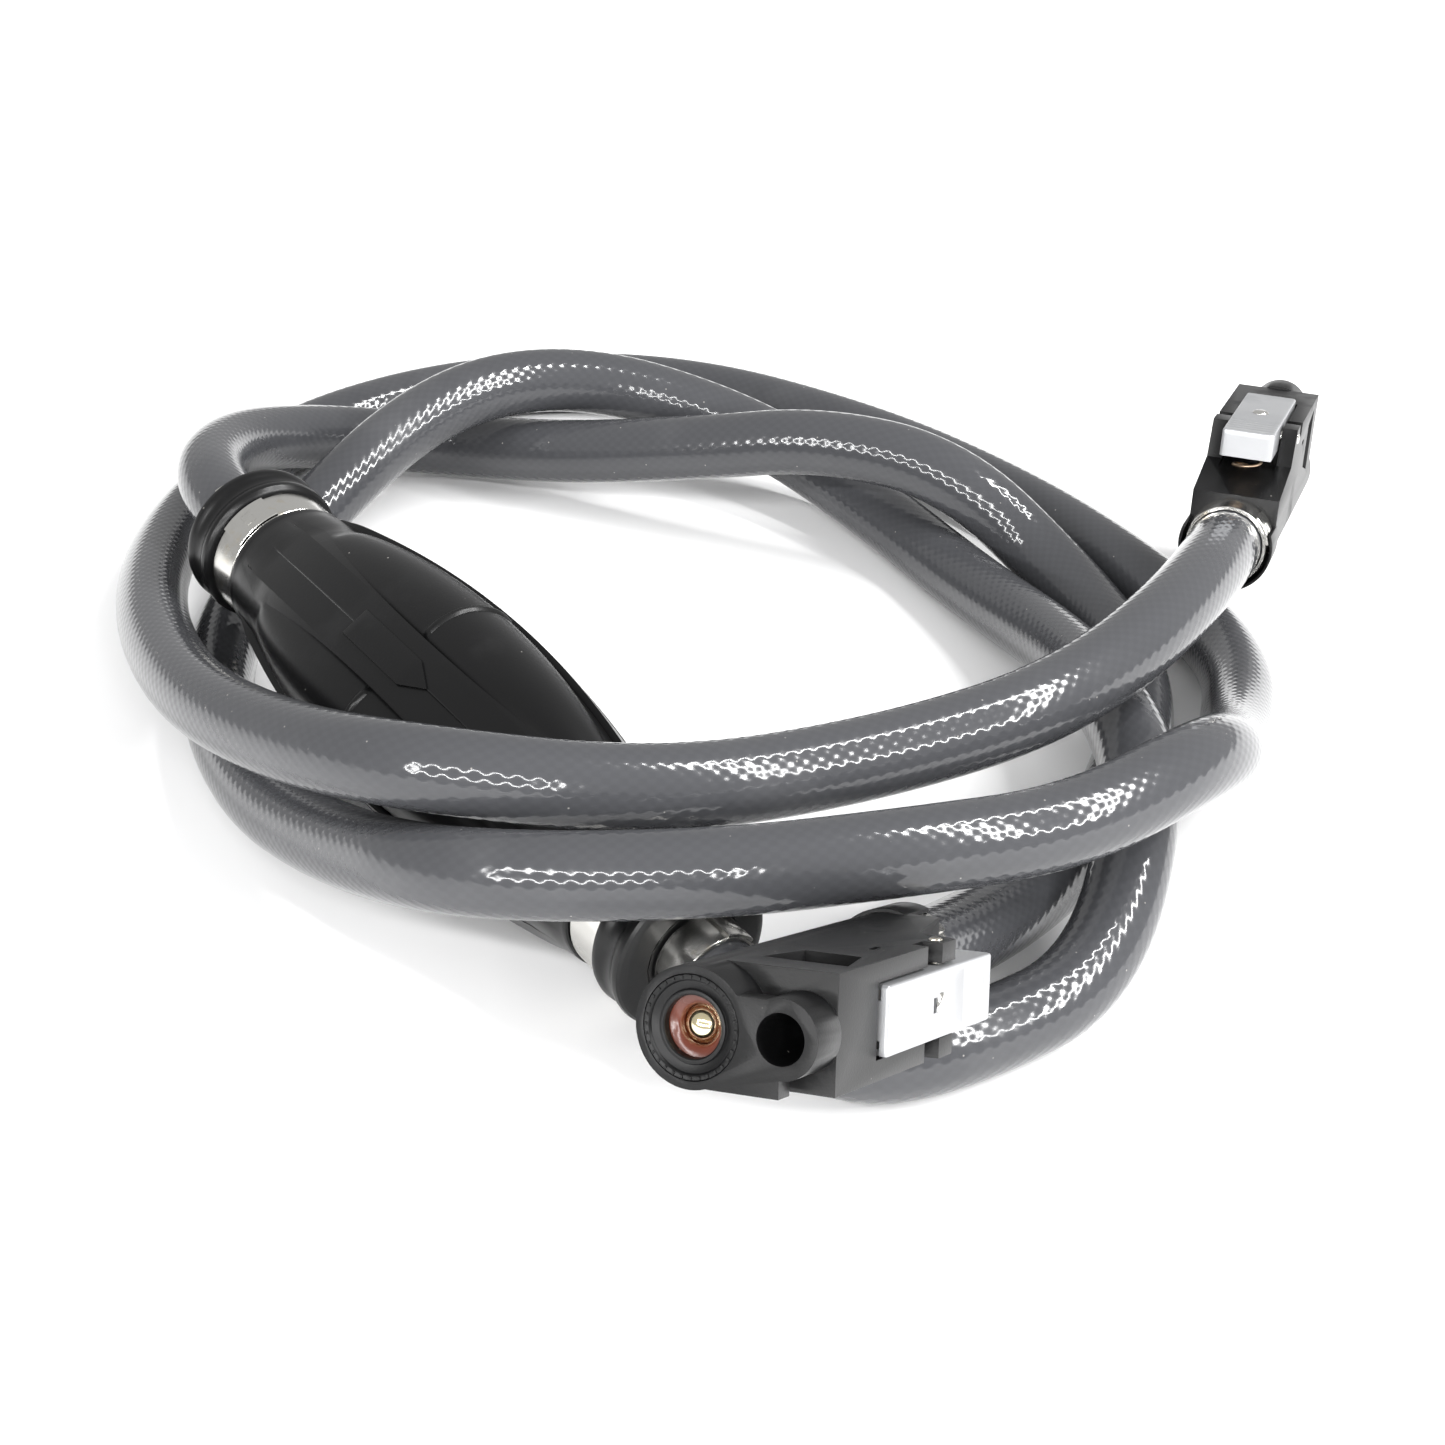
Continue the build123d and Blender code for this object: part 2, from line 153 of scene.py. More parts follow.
def effect_group(name: str, inputs: dict[str, float], output: str, draw: Draw) -> bpy.types.NodeTree:
    """Builds a shader node group that puts out one value that changes over the surface.

    Args:
        name: The group's name.
        inputs: Float inputs with their defaults. A Vector input is added first.
        output: The output's name.
        draw: Builds the inside and returns the socket to put out.

    Returns:
        The node group.
    """
    group = bpy.data.node_groups.new(name, "ShaderNodeTree")
    group.interface.new_socket("Vector", in_out="INPUT", socket_type="NodeSocketVector")
    for label, value in inputs.items():
        group.interface.new_socket(label, in_out="INPUT", socket_type="NodeSocketFloat").default_value = value
    group.interface.new_socket(output, in_out="OUTPUT", socket_type="NodeSocketFloat")
    tree = Tree(group.nodes, group.links)
    start = tree.add("NodeGroupInput")
    end = tree.add("NodeGroupOutput")
    result = draw(tree, {socket.name: socket for socket in start.outputs})
    group.links.new(result, end.inputs[0])
    return group


def draw_grain(tree: Tree, given: dict[str, Socket]) -> Socket:
    """Fine moulded grain: two sizes of noise added together.

    Args:
        tree: The node tree to draw in.
        given: The group's inputs by name.

    Returns:
        The height.
    """
    fine = tree.noise(given["Vector"], given["Scale"], 3.0)
    coarse = tree.noise(given["Vector"], tree.math("MULTIPLY", given["Scale"], 0.17))
    return tree.math("ADD", tree.math("MULTIPLY", fine, 0.7), tree.math("MULTIPLY", coarse, 0.3))


def draw_patches(tree: Tree, given: dict[str, Socket]) -> Socket:
    """Soft-edged patches that cover about the given share of a surface.

    Args:
        tree: The node tree to draw in.
        given: The group's inputs by name.

    Returns:
        The mask.
    """
    noise = tree.noise(given["Vector"], given["Scale"], 4.0, 0.6)
    low = tree.math("SUBTRACT", 0.72, tree.math("MULTIPLY", given["Cover"], 0.44))
    return tree.ramp(noise, low, tree.math("ADD", low, given["Softness"]))


def draw_specks(tree: Tree, given: dict[str, Socket]) -> Socket:
    """Sparse dust specks.

    Args:
        tree: The node tree to draw in.
        given: The group's inputs by name.

    Returns:
        The mask.
    """
    look = {"Vector": given["Vector"], "Scale": given["Scale"]}
    cells = tree.add("ShaderNodeTexVoronoi", look, feature="F1")
    dot = tree.ramp(cells.outputs["Distance"], 0.05, 0.14, 1.0, 0.0)
    chance = tree.math("FRACT", tree.math("MULTIPLY", cells.outputs["Color"], 7.31))
    return tree.math("MULTIPLY", dot, tree.math("GREATER_THAN", given["Cover"], chance))


def draw_brushing(tree: Tree, given: dict[str, Socket]) -> Socket:
    """Long thin scratches along the first axis of the given vector.

    Args:
        tree: The node tree to draw in.
        given: The group's inputs by name.

    Returns:
        The height.
    """
    stretch = tree.add(
        "ShaderNodeVectorMath", {0: given["Vector"], 1: (0.02, 1.0, 1.0)}, operation="MULTIPLY",
    )
    return tree.noise(stretch.outputs[0], given["Scale"])


def draw_braid(tree: Tree, given: dict[str, Socket]) -> Socket:
    """The yarn braid under a hose's skin: two families of spirals, raised where they cross.

    Args:
        tree: The node tree to draw in.
        given: The group's inputs by name.

    Returns:
        The height.
    """
    apart = tree.add("ShaderNodeSeparateXYZ", {0: given["Vector"]})
    along = tree.math("MULTIPLY", tree.math("DIVIDE", apart.outputs[0], given["Pitch"]), math.tau)
    around = tree.math("MULTIPLY", tree.math("MULTIPLY", apart.outputs[1], given["Ends"]), math.tau)
    left = tree.math("SINE", tree.math("ADD", along, around))
    right = tree.math("SINE", tree.math("SUBTRACT", along, around))
    return tree.math("ADD", tree.math("MULTIPLY", tree.math("ADD", left, right), 0.25), 0.5)


def shared(name: str, inputs: dict[str, float], output: str, draw: Draw) -> object:
    """A dataclass field that builds its shader group when the effects are made."""
    return field(default_factory=lambda: effect_group(name, inputs, output, draw))


@dataclass
class Effects:
    """The shader groups that several finishes share.

    Args:
        grain: Moulded grain as a height.
        patches: Soft patches as a mask.
        specks: Dust specks as a mask.
        brushing: Brush scratches as a height.
        braid: A hose's braid as a height.
    """

    grain: bpy.types.NodeTree = shared("moulded_grain", {"Scale": 900.0}, "Height", draw_grain)
    patches: bpy.types.NodeTree = shared(
        "soft_patches", {"Scale": 30.0, "Cover": 0.5, "Softness": 0.2}, "Mask", draw_patches,
    )
    specks: bpy.types.NodeTree = shared("dust_specks", {"Scale": 600.0, "Cover": 0.2}, "Mask", draw_specks)
    brushing: bpy.types.NodeTree = shared("brushing", {"Scale": 2500.0}, "Height", draw_brushing)
    braid: bpy.types.NodeTree = shared("hose_braid", {"Pitch": 4.0, "Ends": 12.0}, "Height", draw_braid)


class Coordinates(Enum):
    """What a finish's pattern follows."""

    OBJECT = "Object"
    UV = "UV"


@dataclass(frozen=True)
class Finish:
    """A material with a Principled shader, and what every finish of this part has in common.

    Args:
        name: The material's name.
        colour: Main colour.
        second: Colour of the patches.
        roughness: Roughness of the clean surface.
        rough_swing: How much the patches add to the roughness.
        metallic: Share of metal.
        shine: Specular level.
        grain_scale: Grain size, as a noise scale.
        grain_depth: Grain depth in metres.
        patch_scale: Patch size, as a noise scale.
        patch_cover: Share that the patches cover.
        specks: Share of the cells that hold a dust speck.
    """

    name: str
    colour: Colour
    second: Colour
    roughness: float = 0.5
    rough_swing: float = 0.12
    metallic: float = 0.0
    shine: float = 0.5
    grain_scale: float = 1400.0
    grain_depth: float = 0.00003
    patch_scale: float = 45.0
    patch_cover: float = 0.45
    specks: float = 0.0

    def group(self, tree: Tree, group: bpy.types.NodeTree, vector: Socket, **values: float) -> Socket:
        """Places a shared effect, read at the vector, and returns its output."""
        return tree.add("ShaderNodeGroup", {"Vector": vector, **values}, node_tree=group).outputs[0]

    def height(self, tree: Tree, effects: Effects, place: Socket, uv: Socket) -> Socket:
        """The surface's relief in metres."""
        grain = self.group(tree, effects.grain, place, Scale=self.grain_scale)
        return tree.math("MULTIPLY", grain, self.grain_depth)

    def paint(self, tree: Tree, effects: Effects, place: Socket, uv: Socket, patches: Socket) -> Socket:
        """The surface's colour.

        Args:
            tree: The node tree to draw in.
            effects: The shared shader groups.
            place: Object coordinates.
            uv: UV coordinates.
            patches: The patches' mask.

        Returns:
            The colour.
        """
        colour = tree.blend(patches, self.colour, self.second)
        if self.specks:
            dust = self.group(tree, effects.specks, place, Cover=self.specks)
            colour = tree.blend(tree.math("MULTIPLY", dust, 0.5), colour, (0.45, 0.43, 0.4, 1.0))
        return colour

    def build(self, effects: Effects) -> bpy.types.Material:
        """Makes the material from the shared shader groups.

        Args:
            effects: The shared shader groups.

        Returns:
            The material.
        """
        material = bpy.data.materials.new(self.name)
        material.use_nodes = True
        tree = Tree(material.node_tree.nodes, material.node_tree.links)
        shader = tree.nodes["Principled BSDF"]
        where = tree.add("ShaderNodeTexCoord")
        place, uv = where.outputs[Coordinates.OBJECT.value], where.outputs[Coordinates.UV.value]
        patches = self.group(tree, effects.patches, place, Scale=self.patch_scale, Cover=self.patch_cover)
        worn = self.roughness + self.rough_swing
        tree.feed(shader, "Base Color", self.paint(tree, effects, place, uv, patches))
        tree.feed(shader, "Roughness", tree.ramp(patches, 0.0, 1.0, self.roughness, worn))
        shader.inputs["Metallic"].default_value = self.metallic
        shader.inputs["Specular IOR Level"].default_value = self.shine
        bump = tree.add("ShaderNodeBump", {"Distance": 1.0, "Height": self.height(tree, effects, place, uv)})
        tree.feed(shader, "Normal", bump.outputs[0])
        return material


@dataclass(frozen=True)
class BraidedSkin(Finish):
    """Glossy grey PVC over a yarn braid.

    Args:
        pitch: Length of one braid crossing along the hose, mm.
        ends: Crossings round the hose.
        braid_depth: How far the braid stands up, in metres.
    """

    pitch: float = 3.0
    ends: float = 20.0
    braid_depth: float = 0.000038

    def height(self, tree: Tree, effects: Effects, place: Socket, uv: Socket) -> Socket:
        """Braid and grain together, in metres.

        Args:
            tree: The node tree to draw in.
            effects: The shared shader groups.
            place: Object coordinates.
            uv: UV coordinates.

        Returns:
            The height in metres.
        """
        braid = self.group(tree, effects.braid, uv, Pitch=self.pitch, Ends=self.ends)
        grain = self.group(tree, effects.grain, place, Scale=self.grain_scale)
        relief = tree.math("MULTIPLY", braid, self.braid_depth)
        return tree.math("ADD", relief, tree.math("MULTIPLY", grain, self.grain_depth))

    def paint(self, tree: Tree, effects: Effects, place: Socket, uv: Socket, patches: Socket) -> Socket:
        """Grey skin with painted shade between the yarns, darker where the braid's relief dips.

        Args:
            tree: The node tree to draw in.
            effects: The shared shader groups.
            place: Object coordinates.
            uv: UV coordinates.
            patches: The patches' mask.

        Returns:
            The colour.
        """
        braid = self.group(tree, effects.braid, uv, Pitch=self.pitch, Ends=self.ends)
        skin = super().paint(tree, effects, place, uv, patches)
        # Painted shade: the skin turns towards near black where the braid's height is low, as shade in the
        # hollows between yarns.
        shade = tree.ramp(braid, 0.2, 0.85, 0.1, 0.0)
        return tree.blend(shade, skin, (0.02, 0.02, 0.022, 1.0))


@dataclass(frozen=True)
class BrushedMetal(Finish):
    """Sheet metal with scratches along its UV and stains in patches.

    Args:
        brush_depth: Depth of the scratches, in metres.
        stain: Colour of the stains.
        stain_cover: Share that stains cover.
    """

    brush_depth: float = 0.000006
    stain: Colour = (0.62, 0.5, 0.28, 1.0)
    stain_cover: float = 0.2

    def height(self, tree: Tree, effects: Effects, place: Socket, uv: Socket) -> Socket:
        """Brush scratches, in metres."""
        lines = self.group(tree, effects.brushing, uv, Scale=9.0)
        return tree.math("MULTIPLY", lines, self.brush_depth)

    def paint(self, tree: Tree, effects: Effects, place: Socket, uv: Socket, patches: Socket) -> Socket:
        """Metal with stained patches.

        Args:
            tree: The node tree to draw in.
            effects: The shared shader groups.
            place: Object coordinates.
            uv: UV coordinates.
            patches: The patches' mask.

        Returns:
            The colour.
        """
        metal = super().paint(tree, effects, place, uv, patches)
        stains = self.group(tree, effects.patches, place, Scale=120.0, Cover=self.stain_cover)
        return tree.blend(tree.math("MULTIPLY", stains, 0.8), metal, self.stain)


@dataclass
class Finishes:
    """Every finish of the pump, made once."""

    effects: Effects = field(default_factory=Effects)
    bulb_rubber: Finish = Finish(
        "bulb_rubber", (0.003, 0.003, 0.0032, 1), (0.006, 0.006, 0.0063, 1),
        roughness=0.3, rough_swing=0.12, shine=0.3, grain_depth=0.00002, specks=0.012,
    )
    hose_grey: Finish = BraidedSkin(
        "hose_grey", (0.05, 0.051, 0.055, 1), (0.062, 0.063, 0.067, 1),
        roughness=0.11, rough_swing=0.06, shine=0.42, grain_depth=0.000004, patch_scale=25.0, specks=0.05,
    )
    black_plastic: Finish = Finish(
        "black_plastic", (0.0035, 0.0035, 0.0037, 1), (0.007, 0.007, 0.0074, 1),
        roughness=0.36, rough_swing=0.14, shine=0.24, grain_scale=2600.0, grain_depth=0.00003, specks=0.03,
    )
    white_plastic: Finish = Finish(
        "white_plastic", (0.7, 0.69, 0.66, 1), (0.62, 0.61, 0.58, 1), 0.4,
    )
    clamp_steel: Finish = BrushedMetal(
        "clamp_steel", (0.66, 0.65, 0.62, 1), (0.5, 0.49, 0.46, 1),
        roughness=0.2, rough_swing=0.16, metallic=1.0, stain_cover=0.34,
    )
    lever_steel: Finish = BrushedMetal(
        "lever_steel", (0.4, 0.405, 0.415, 1), (0.35, 0.355, 0.365, 1),
        roughness=0.36, metallic=0.7, stain_cover=0.04,
    )
    seal_rubber: Finish = Finish(
        "seal_rubber", (0.1, 0.022, 0.011, 1), (0.05, 0.013, 0.008, 1),
        roughness=0.22, rough_swing=0.15,
    )
    ball_metal: Finish = Finish(
        "ball_metal", (0.86, 0.76, 0.5, 1), (0.72, 0.6, 0.34, 1),
        roughness=0.12, rough_swing=0.08, metallic=1.0, grain_depth=0.000004,
    )
    spring_wire: Finish = Finish(
        "spring_wire", (0.58, 0.43, 0.3, 1), (0.42, 0.3, 0.2, 1),
        roughness=0.28, rough_swing=0.16, metallic=1.0, grain_depth=0.000006,
    )

    def __post_init__(self) -> None:
        """Builds each material."""
        self.materials = {
            finish.name: finish.build(self.effects)
            for finish in vars(type(self)).values()
            if isinstance(finish, Finish)
        }

    def dress(self, piece: bpy.types.Object, name: str) -> None:
        """Gives a piece one finish.

        Args:
            piece: The object.
            name: The finish's name.
        """
        piece.data.materials.clear()
        piece.data.materials.append(self.materials[name])

    def settle(
        self, piece: bpy.types.Object, finish: str, node: str, body: Body = Body.ASSEMBLY,
    ) -> bpy.types.Object:
        """Dresses a piece, puts it on its body and lets it stand for its CAD node.

        Args:
            piece: The object.
            finish: The finish's name.
            node: The CAD node it stands for.
            body: The body it rides on.

        Returns:
            The object.
        """
        self.dress(piece, finish)
        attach(piece, body.value)
        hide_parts(node)
        return piece


# --- mesh helpers -----------------------------------------------------------------------------


def show(name: str, data: bpy.types.ID) -> bpy.types.Object:
    """Adds an object with this data to the scene.

    Args:
        name: The object's name.
        data: Its mesh, curve, light or camera data.

    Returns:
        The object.
    """
    piece = bpy.data.objects.new(name, data)
    bpy.context.scene.collection.objects.link(piece)
    return piece


def smooth_data(mesh: bmesh.types.BMesh, name: str) -> bpy.types.Mesh:
    """Turns a bmesh into mesh data with smooth faces, and frees the bmesh.

    Args:
        mesh: The bmesh, which is freed.
        name: The mesh data's name.

    Returns:
        The mesh data.
    """
    data = bpy.data.meshes.new(name)
    mesh.to_mesh(data)
    mesh.free()
    data.polygons.foreach_set("use_smooth", [True] * len(data.polygons))
    return data


def add_piece(name: str, mesh: bmesh.types.BMesh, placed: Matrix, sharp: float = 35.0) -> bpy.types.Object:
    """Turns a bmesh in millimetres into an object at the origin with its place in its mesh.

    Args:
        name: The object's name.
        mesh: The bmesh, which is freed.
        placed: From the piece's own millimetres to the row frame's.
        sharp: Edges that turn more than this many degrees stay sharp.

    Returns:
        The new object.
    """
    bmesh.ops.remove_doubles(mesh, verts=mesh.verts, dist=0.0005)
    bmesh.ops.recalc_face_normals(mesh, faces=mesh.faces)
    bmesh.ops.transform(mesh, matrix=Matrix.Scale(MM, 4) @ placed, verts=mesh.verts)
    data = smooth_data(mesh, name)
    data.set_sharp_from_angle(angle=math.radians(sharp))
    return show(name, data)


def draw_profile(mesh: bmesh.types.BMesh, profile: Sequence[Station], turn: float) -> list[object]:
    """Draws a profile as edges at one angle round X.

    Args:
        mesh: The bmesh to draw in.
        profile: (x, radius) corners in order. A closed ring repeats its first corner.
        turn: Angle from +Y, degrees.

    Returns:
        The new vertices and edges.
    """
    closed = profile[0] == profile[-1]
    across = Matrix.Rotation(math.radians(turn), 3, "X") @ Vector((0, 1, 0))
    verts = [mesh.verts.new(Vector((x, 0, 0)) + across * r) for x, r in (profile[:-1] if closed else profile)]
    pairs = list(zip(verts, verts[1:])) + ([(verts[-1], verts[0])] if closed else [])
    return verts + [mesh.edges.new(pair) for pair in pairs]


def lathe(profile: Sequence[Station], steps: int = 64) -> bmesh.types.BMesh:
    """Spins a profile of (x, radius) corners about X.

    Args:
        profile: (x, radius) corners in order. A closed ring repeats its first corner.
        steps: Steps round the axis.

    Returns:
        The spun bmesh.
    """
    mesh = bmesh.new()
    geometry = draw_profile(mesh, profile, 0.0)
    bmesh.ops.spin(
        mesh, geom=geometry, cent=(0, 0, 0), axis=(1, 0, 0), angle=math.tau, steps=steps, use_merge=True,
    )
    bmesh.ops.remove_doubles(mesh, verts=mesh.verts, dist=0.001)
    return mesh


def close_holes(mesh: bmesh.types.BMesh) -> None:
    """Puts a face on every open rim."""
    bmesh.ops.holes_fill(mesh, edges=[edge for edge in mesh.edges if edge.is_boundary], sides=0)


def bevel(mesh: bmesh.types.BMesh, edges: Sequence[bmesh.types.BMEdge], offset: float, segments: int) -> None:
    """Rounds some edges of a bmesh.

    Args:
        mesh: The bmesh.
        edges: The edges to round.
        offset: Width of the rounding, mm.
        segments: Segments across the rounding.
    """
    bmesh.ops.bevel(
        mesh, geom=edges, offset=offset, segments=segments, profile=0.5, affect="EDGES", material=-1,
    )


def arc_of(section: Sequence[Station], middle: float, half: float, steps: int = 24) -> bmesh.types.BMesh:
    """Spins a closed section part of the way round X and closes its two ends.

    Args:
        section: (x, radius) corners of the closed section.
        middle: Middle of the arc, degrees from +Y.
        half: Half the arc, degrees.
        steps: Steps along the arc.

    Returns:
        The bmesh.
    """
    mesh = bmesh.new()
    geometry = draw_profile(mesh, section, middle - half)
    bmesh.ops.spin(
        mesh, geom=geometry, cent=(0, 0, 0), axis=(1, 0, 0), angle=math.radians(2 * half), steps=steps,
        use_merge=False,
    )
    close_holes(mesh)
    return mesh


def join(mesh: bmesh.types.BMesh, other: bmesh.types.BMesh) -> None:
    """Adds one bmesh to another and frees the one added.

    Args:
        mesh: The bmesh.
        other: The bmesh to add, which is freed.
    """
    data = bpy.data.meshes.new("joined")
    other.to_mesh(data)
    other.free()
    mesh.from_mesh(data)
    bpy.data.meshes.remove(data)


def cut_across(mesh: bmesh.types.BMesh, axis: int, places: Sequence[float]) -> None:
    """Cuts a bmesh with planes square to one axis, at each of the places, mm.

    Args:
        mesh: The bmesh.
        axis: 0, 1 or 2 for X, Y or Z.
        places: Where to cut along the axis, mm.
    """
    normal = Vector([float(index == axis) for index in range(3)])
    for place in places:
        everything = [*mesh.verts, *mesh.edges, *mesh.faces]
        bmesh.ops.bisect_plane(mesh, geom=everything, dist=0.0001, plane_co=normal * place, plane_no=normal)


def round_edges(piece: bpy.types.Object, width: float, segments: int = 2, angle: float = 40.0) -> None:
    """Rounds a piece's sharp edges with a Bevel modifier, width in mm, angle in degrees.

    Args:
        piece: The object.
        width: Width of the rounding, mm.
        segments: Segments across the rounding.
        angle: Edges that turn more than this many degrees are rounded.
    """
    rounding = piece.modifiers.new("rounded_edges", "BEVEL")
    rounding.width = width * MM
    rounding.segments = segments
    rounding.limit_method = "ANGLE"
    rounding.angle_limit = math.radians(angle)
    rounding.harden_normals = True


def wrap_round(mesh: bmesh.types.BMesh, radius: float) -> None:
    """Gives a spun mesh a UV map in mm: round the axis, measured at this radius, then along it.

    Args:
        mesh: The bmesh.
        radius: The radius that the round measure is taken at, mm.
    """
    layer = mesh.loops.layers.uv.new("wrap")
    for face in mesh.faces:
        middle = face.calc_center_median()
        turn = math.atan2(middle.z, middle.y)
        for loop in face.loops:
            angle = math.atan2(loop.vert.co.z, loop.vert.co.y)
            angle += math.tau * round((turn - angle) / math.tau)
            loop[layer].uv = (angle * radius, loop.vert.co.x)


def lay_flat(mesh: bmesh.types.BMesh) -> None:
    """Gives a plate a UV map in millimetres along its own X and Z.

    Args:
        mesh: The bmesh.
    """
    layer = mesh.loops.layers.uv.new("wrap")
    for face in mesh.faces:
        for loop in face.loops:
            loop[layer].uv = (loop.vert.co.x, loop.vert.co.z)


def line_points(name: str, route: Sequence[Point]) -> list[Vector]:
    """Points, in metres, along the smooth line whose control points are the route's, in millimetres.

    Args:
        name: A name for the line.
        route: Control points in millimetres.

    Returns:
        Points along the line, in metres.
    """
    curve = bpy.data.curves.new(name, "CURVE")
    curve.dimensions = "3D"
    curve.resolution_u = 20
    spline = curve.splines.new("NURBS")
    spline.points.add(len(route) - 1)
    for knot, (x, y, z) in zip(spline.points, route):
        knot.co = (x * MM, y * MM, z * MM, 1.0)
    spline.order_u = 3
    spline.use_endpoint_u = True
    holder = show(name, curve)
    bpy.context.view_layer.update()
    line = bpy.data.meshes.new_from_object(holder)
    points = [vertex.co.copy() for vertex in line.vertices]
    bpy.data.objects.remove(holder)
    bpy.data.meshes.remove(line)
    return points


def even_points(points: Sequence[Vector], gap: float) -> list[Vector]:
    """Points an even gap apart along a line.

    Args:
        points: The line, as close points.
        gap: The wanted gap in metres.

    Returns:
        The new points, with both ends kept.
    """
    lengths = [0.0]
    for first, second in zip(points, points[1:]):
        lengths.append(lengths[-1] + (second - first).length)
    count = max(2, round(lengths[-1] / gap))
    spots, at = [], 0
    for step in range(count + 1):
        goal = lengths[-1] * step / count
        while at < len(points) - 2 and lengths[at + 1] < goal:
            at += 1
        span = lengths[at + 1] - lengths[at]
        share = 0.0 if span == 0 else min(1.0, (goal - lengths[at]) / span)
        spots.append(points[at].lerp(points[at + 1], share))
    return spots


# --- hoses ------------------------------------------------------------------------------------


@dataclass
class FuelHose:
    """A braided fuel hose that lies along its route and ends in a quick connector.

    Args:
        node: The CAD node it stands for.
        route: Its line's control points, mm.
        length: Its real length, m. Not used.
        radius: Outside radius, mm.
        bore: Bore radius, mm.
        sides: Steps round it.
        gap: Gap between two rings, mm.
    """

    node: str
    route: Sequence[Point]
    length: float
    radius: float = 7.5
    bore: float = 4.75
    sides: int = 40
    gap: float = 3.0

    def build(self, finishes: Finishes, on_it: Sequence[object]) -> None:
        """Args:
            finishes: The pump's finishes.
            on_it: The pieces of the connector on its end. Not used.
        """
        points = even_points(line_points(self.node, self.route), self.gap * MM)
        mesh = self.wall(points)
        self.open_ends(mesh, points)
        bmesh.ops.recalc_face_normals(mesh, faces=mesh.faces)
        data = smooth_data(mesh, self.node)
        data.set_sharp_from_angle(angle=math.radians(50))
        piece = finishes.settle(show(f"{self.node}_skin", data), "hose_grey", self.node)
        laid = sum((b - a).length for a, b in zip(points, points[1:]))
        LOG.info("%s: %.3f m of line, %d faces", piece.name, laid, len(data.polygons))

    def wall(self, points: Sequence[Vector]) -> bmesh.types.BMesh:
        """The hose's outside, ring by ring, with its UV map: distance along in mm, then share round.

        Args:
            points: The hose's line, m.

        Returns:
            The bmesh, in metres.
        """
        mesh = bmesh.new()
        layer = mesh.loops.layers.uv.new("wrap")
        ways = [(b - a).normalized() for a, b in zip(points, points[1:])]
        ways.append(ways[-1])
        ring = bmesh.ops.create_circle(mesh, segments=self.sides, radius=self.radius * MM)["verts"]
        upright = ways[0].to_track_quat("X", "Z").to_matrix().to_4x4() @ Matrix.Rotation(math.pi / 2, 4, "Y")
        bmesh.ops.transform(mesh, verts=ring, matrix=Matrix.Translation(points[0]) @ upright)
        edges, gone = list(mesh.edges), 0.0
        for step in range(1, len(points)):
            grown = bmesh.ops.extrude_edge_only(mesh, edges=edges)["geom"]
            verts = {g for g in grown if isinstance(g, bmesh.types.BMVert)}
            bend = ways[step - 1].rotation_difference(ways[step]).to_matrix().to_4x4()
            move = Matrix.Translation(points[step]) @ bend @ Matrix.Translation(-points[step - 1])
            bmesh.ops.transform(mesh, verts=list(verts), matrix=move)
            edges = [g for g in grown if isinstance(g, bmesh.types.BMEdge) and g.is_boundary]
            before, gone = gone, gone + (points[step] - points[step - 1]).length / MM
            for face in (g for g in grown if isinstance(g, bmesh.types.BMFace)):
                for loop in face.loops:
                    loop[layer].uv.x = gone if loop.vert in verts else before
        self.number_round(mesh, layer)
        return mesh

    def number_round(self, mesh: bmesh.types.BMesh, layer: object) -> None:
        """Numbers the wall's columns from 0 to 1 round the hose in the UV map's second value.

        Args:
            mesh: The bmesh.
            layer: The UV layer.
        """
        mesh.verts.ensure_lookup_table()
        column = {vert: index % self.sides for index, vert in enumerate(mesh.verts)}
        for face in mesh.faces:
            spots = [column[loop.vert] for loop in face.loops]
            seam = max(spots) - min(spots) > 1
            for loop, spot in zip(face.loops, spots):
                loop[layer].uv.y = (spot + self.sides if seam and spot == 0 else spot) / self.sides

    def open_ends(self, mesh: bmesh.types.BMesh, points: Sequence[Vector]) -> None:
        """Turns both rims inwards and a little way down the bore.

        Args:
            mesh: The bmesh.
            points: The hose's line, m.
        """
        near = self.radius * 1.3 * MM
        for end, inward in ((points[0], points[1] - points[0]), (points[-1], points[-2] - points[-1])):
            rim = [edge for edge in mesh.edges if edge.is_boundary and (edge.verts[0].co - end).length < near]
            for scale, deep in ((self.bore / self.radius, 0.0), (1.0, 10.0 * MM)):
                grown = bmesh.ops.extrude_edge_only(mesh, edges=rim)["geom"]
                verts = [g for g in grown if isinstance(g, bmesh.types.BMVert)]
                middle = sum((v.co for v in verts), Vector()) / len(verts)
                shift = Matrix.Translation(middle + inward.normalized() * deep)
                shrink = shift @ Matrix.Scale(scale, 4) @ Matrix.Translation(-middle)
                bmesh.ops.transform(mesh, verts=verts, matrix=shrink)
                rim = [g for g in grown if isinstance(g, bmesh.types.BMEdge) and g.is_boundary]


# --- clamps and springs -----------------------------------------------------------------------


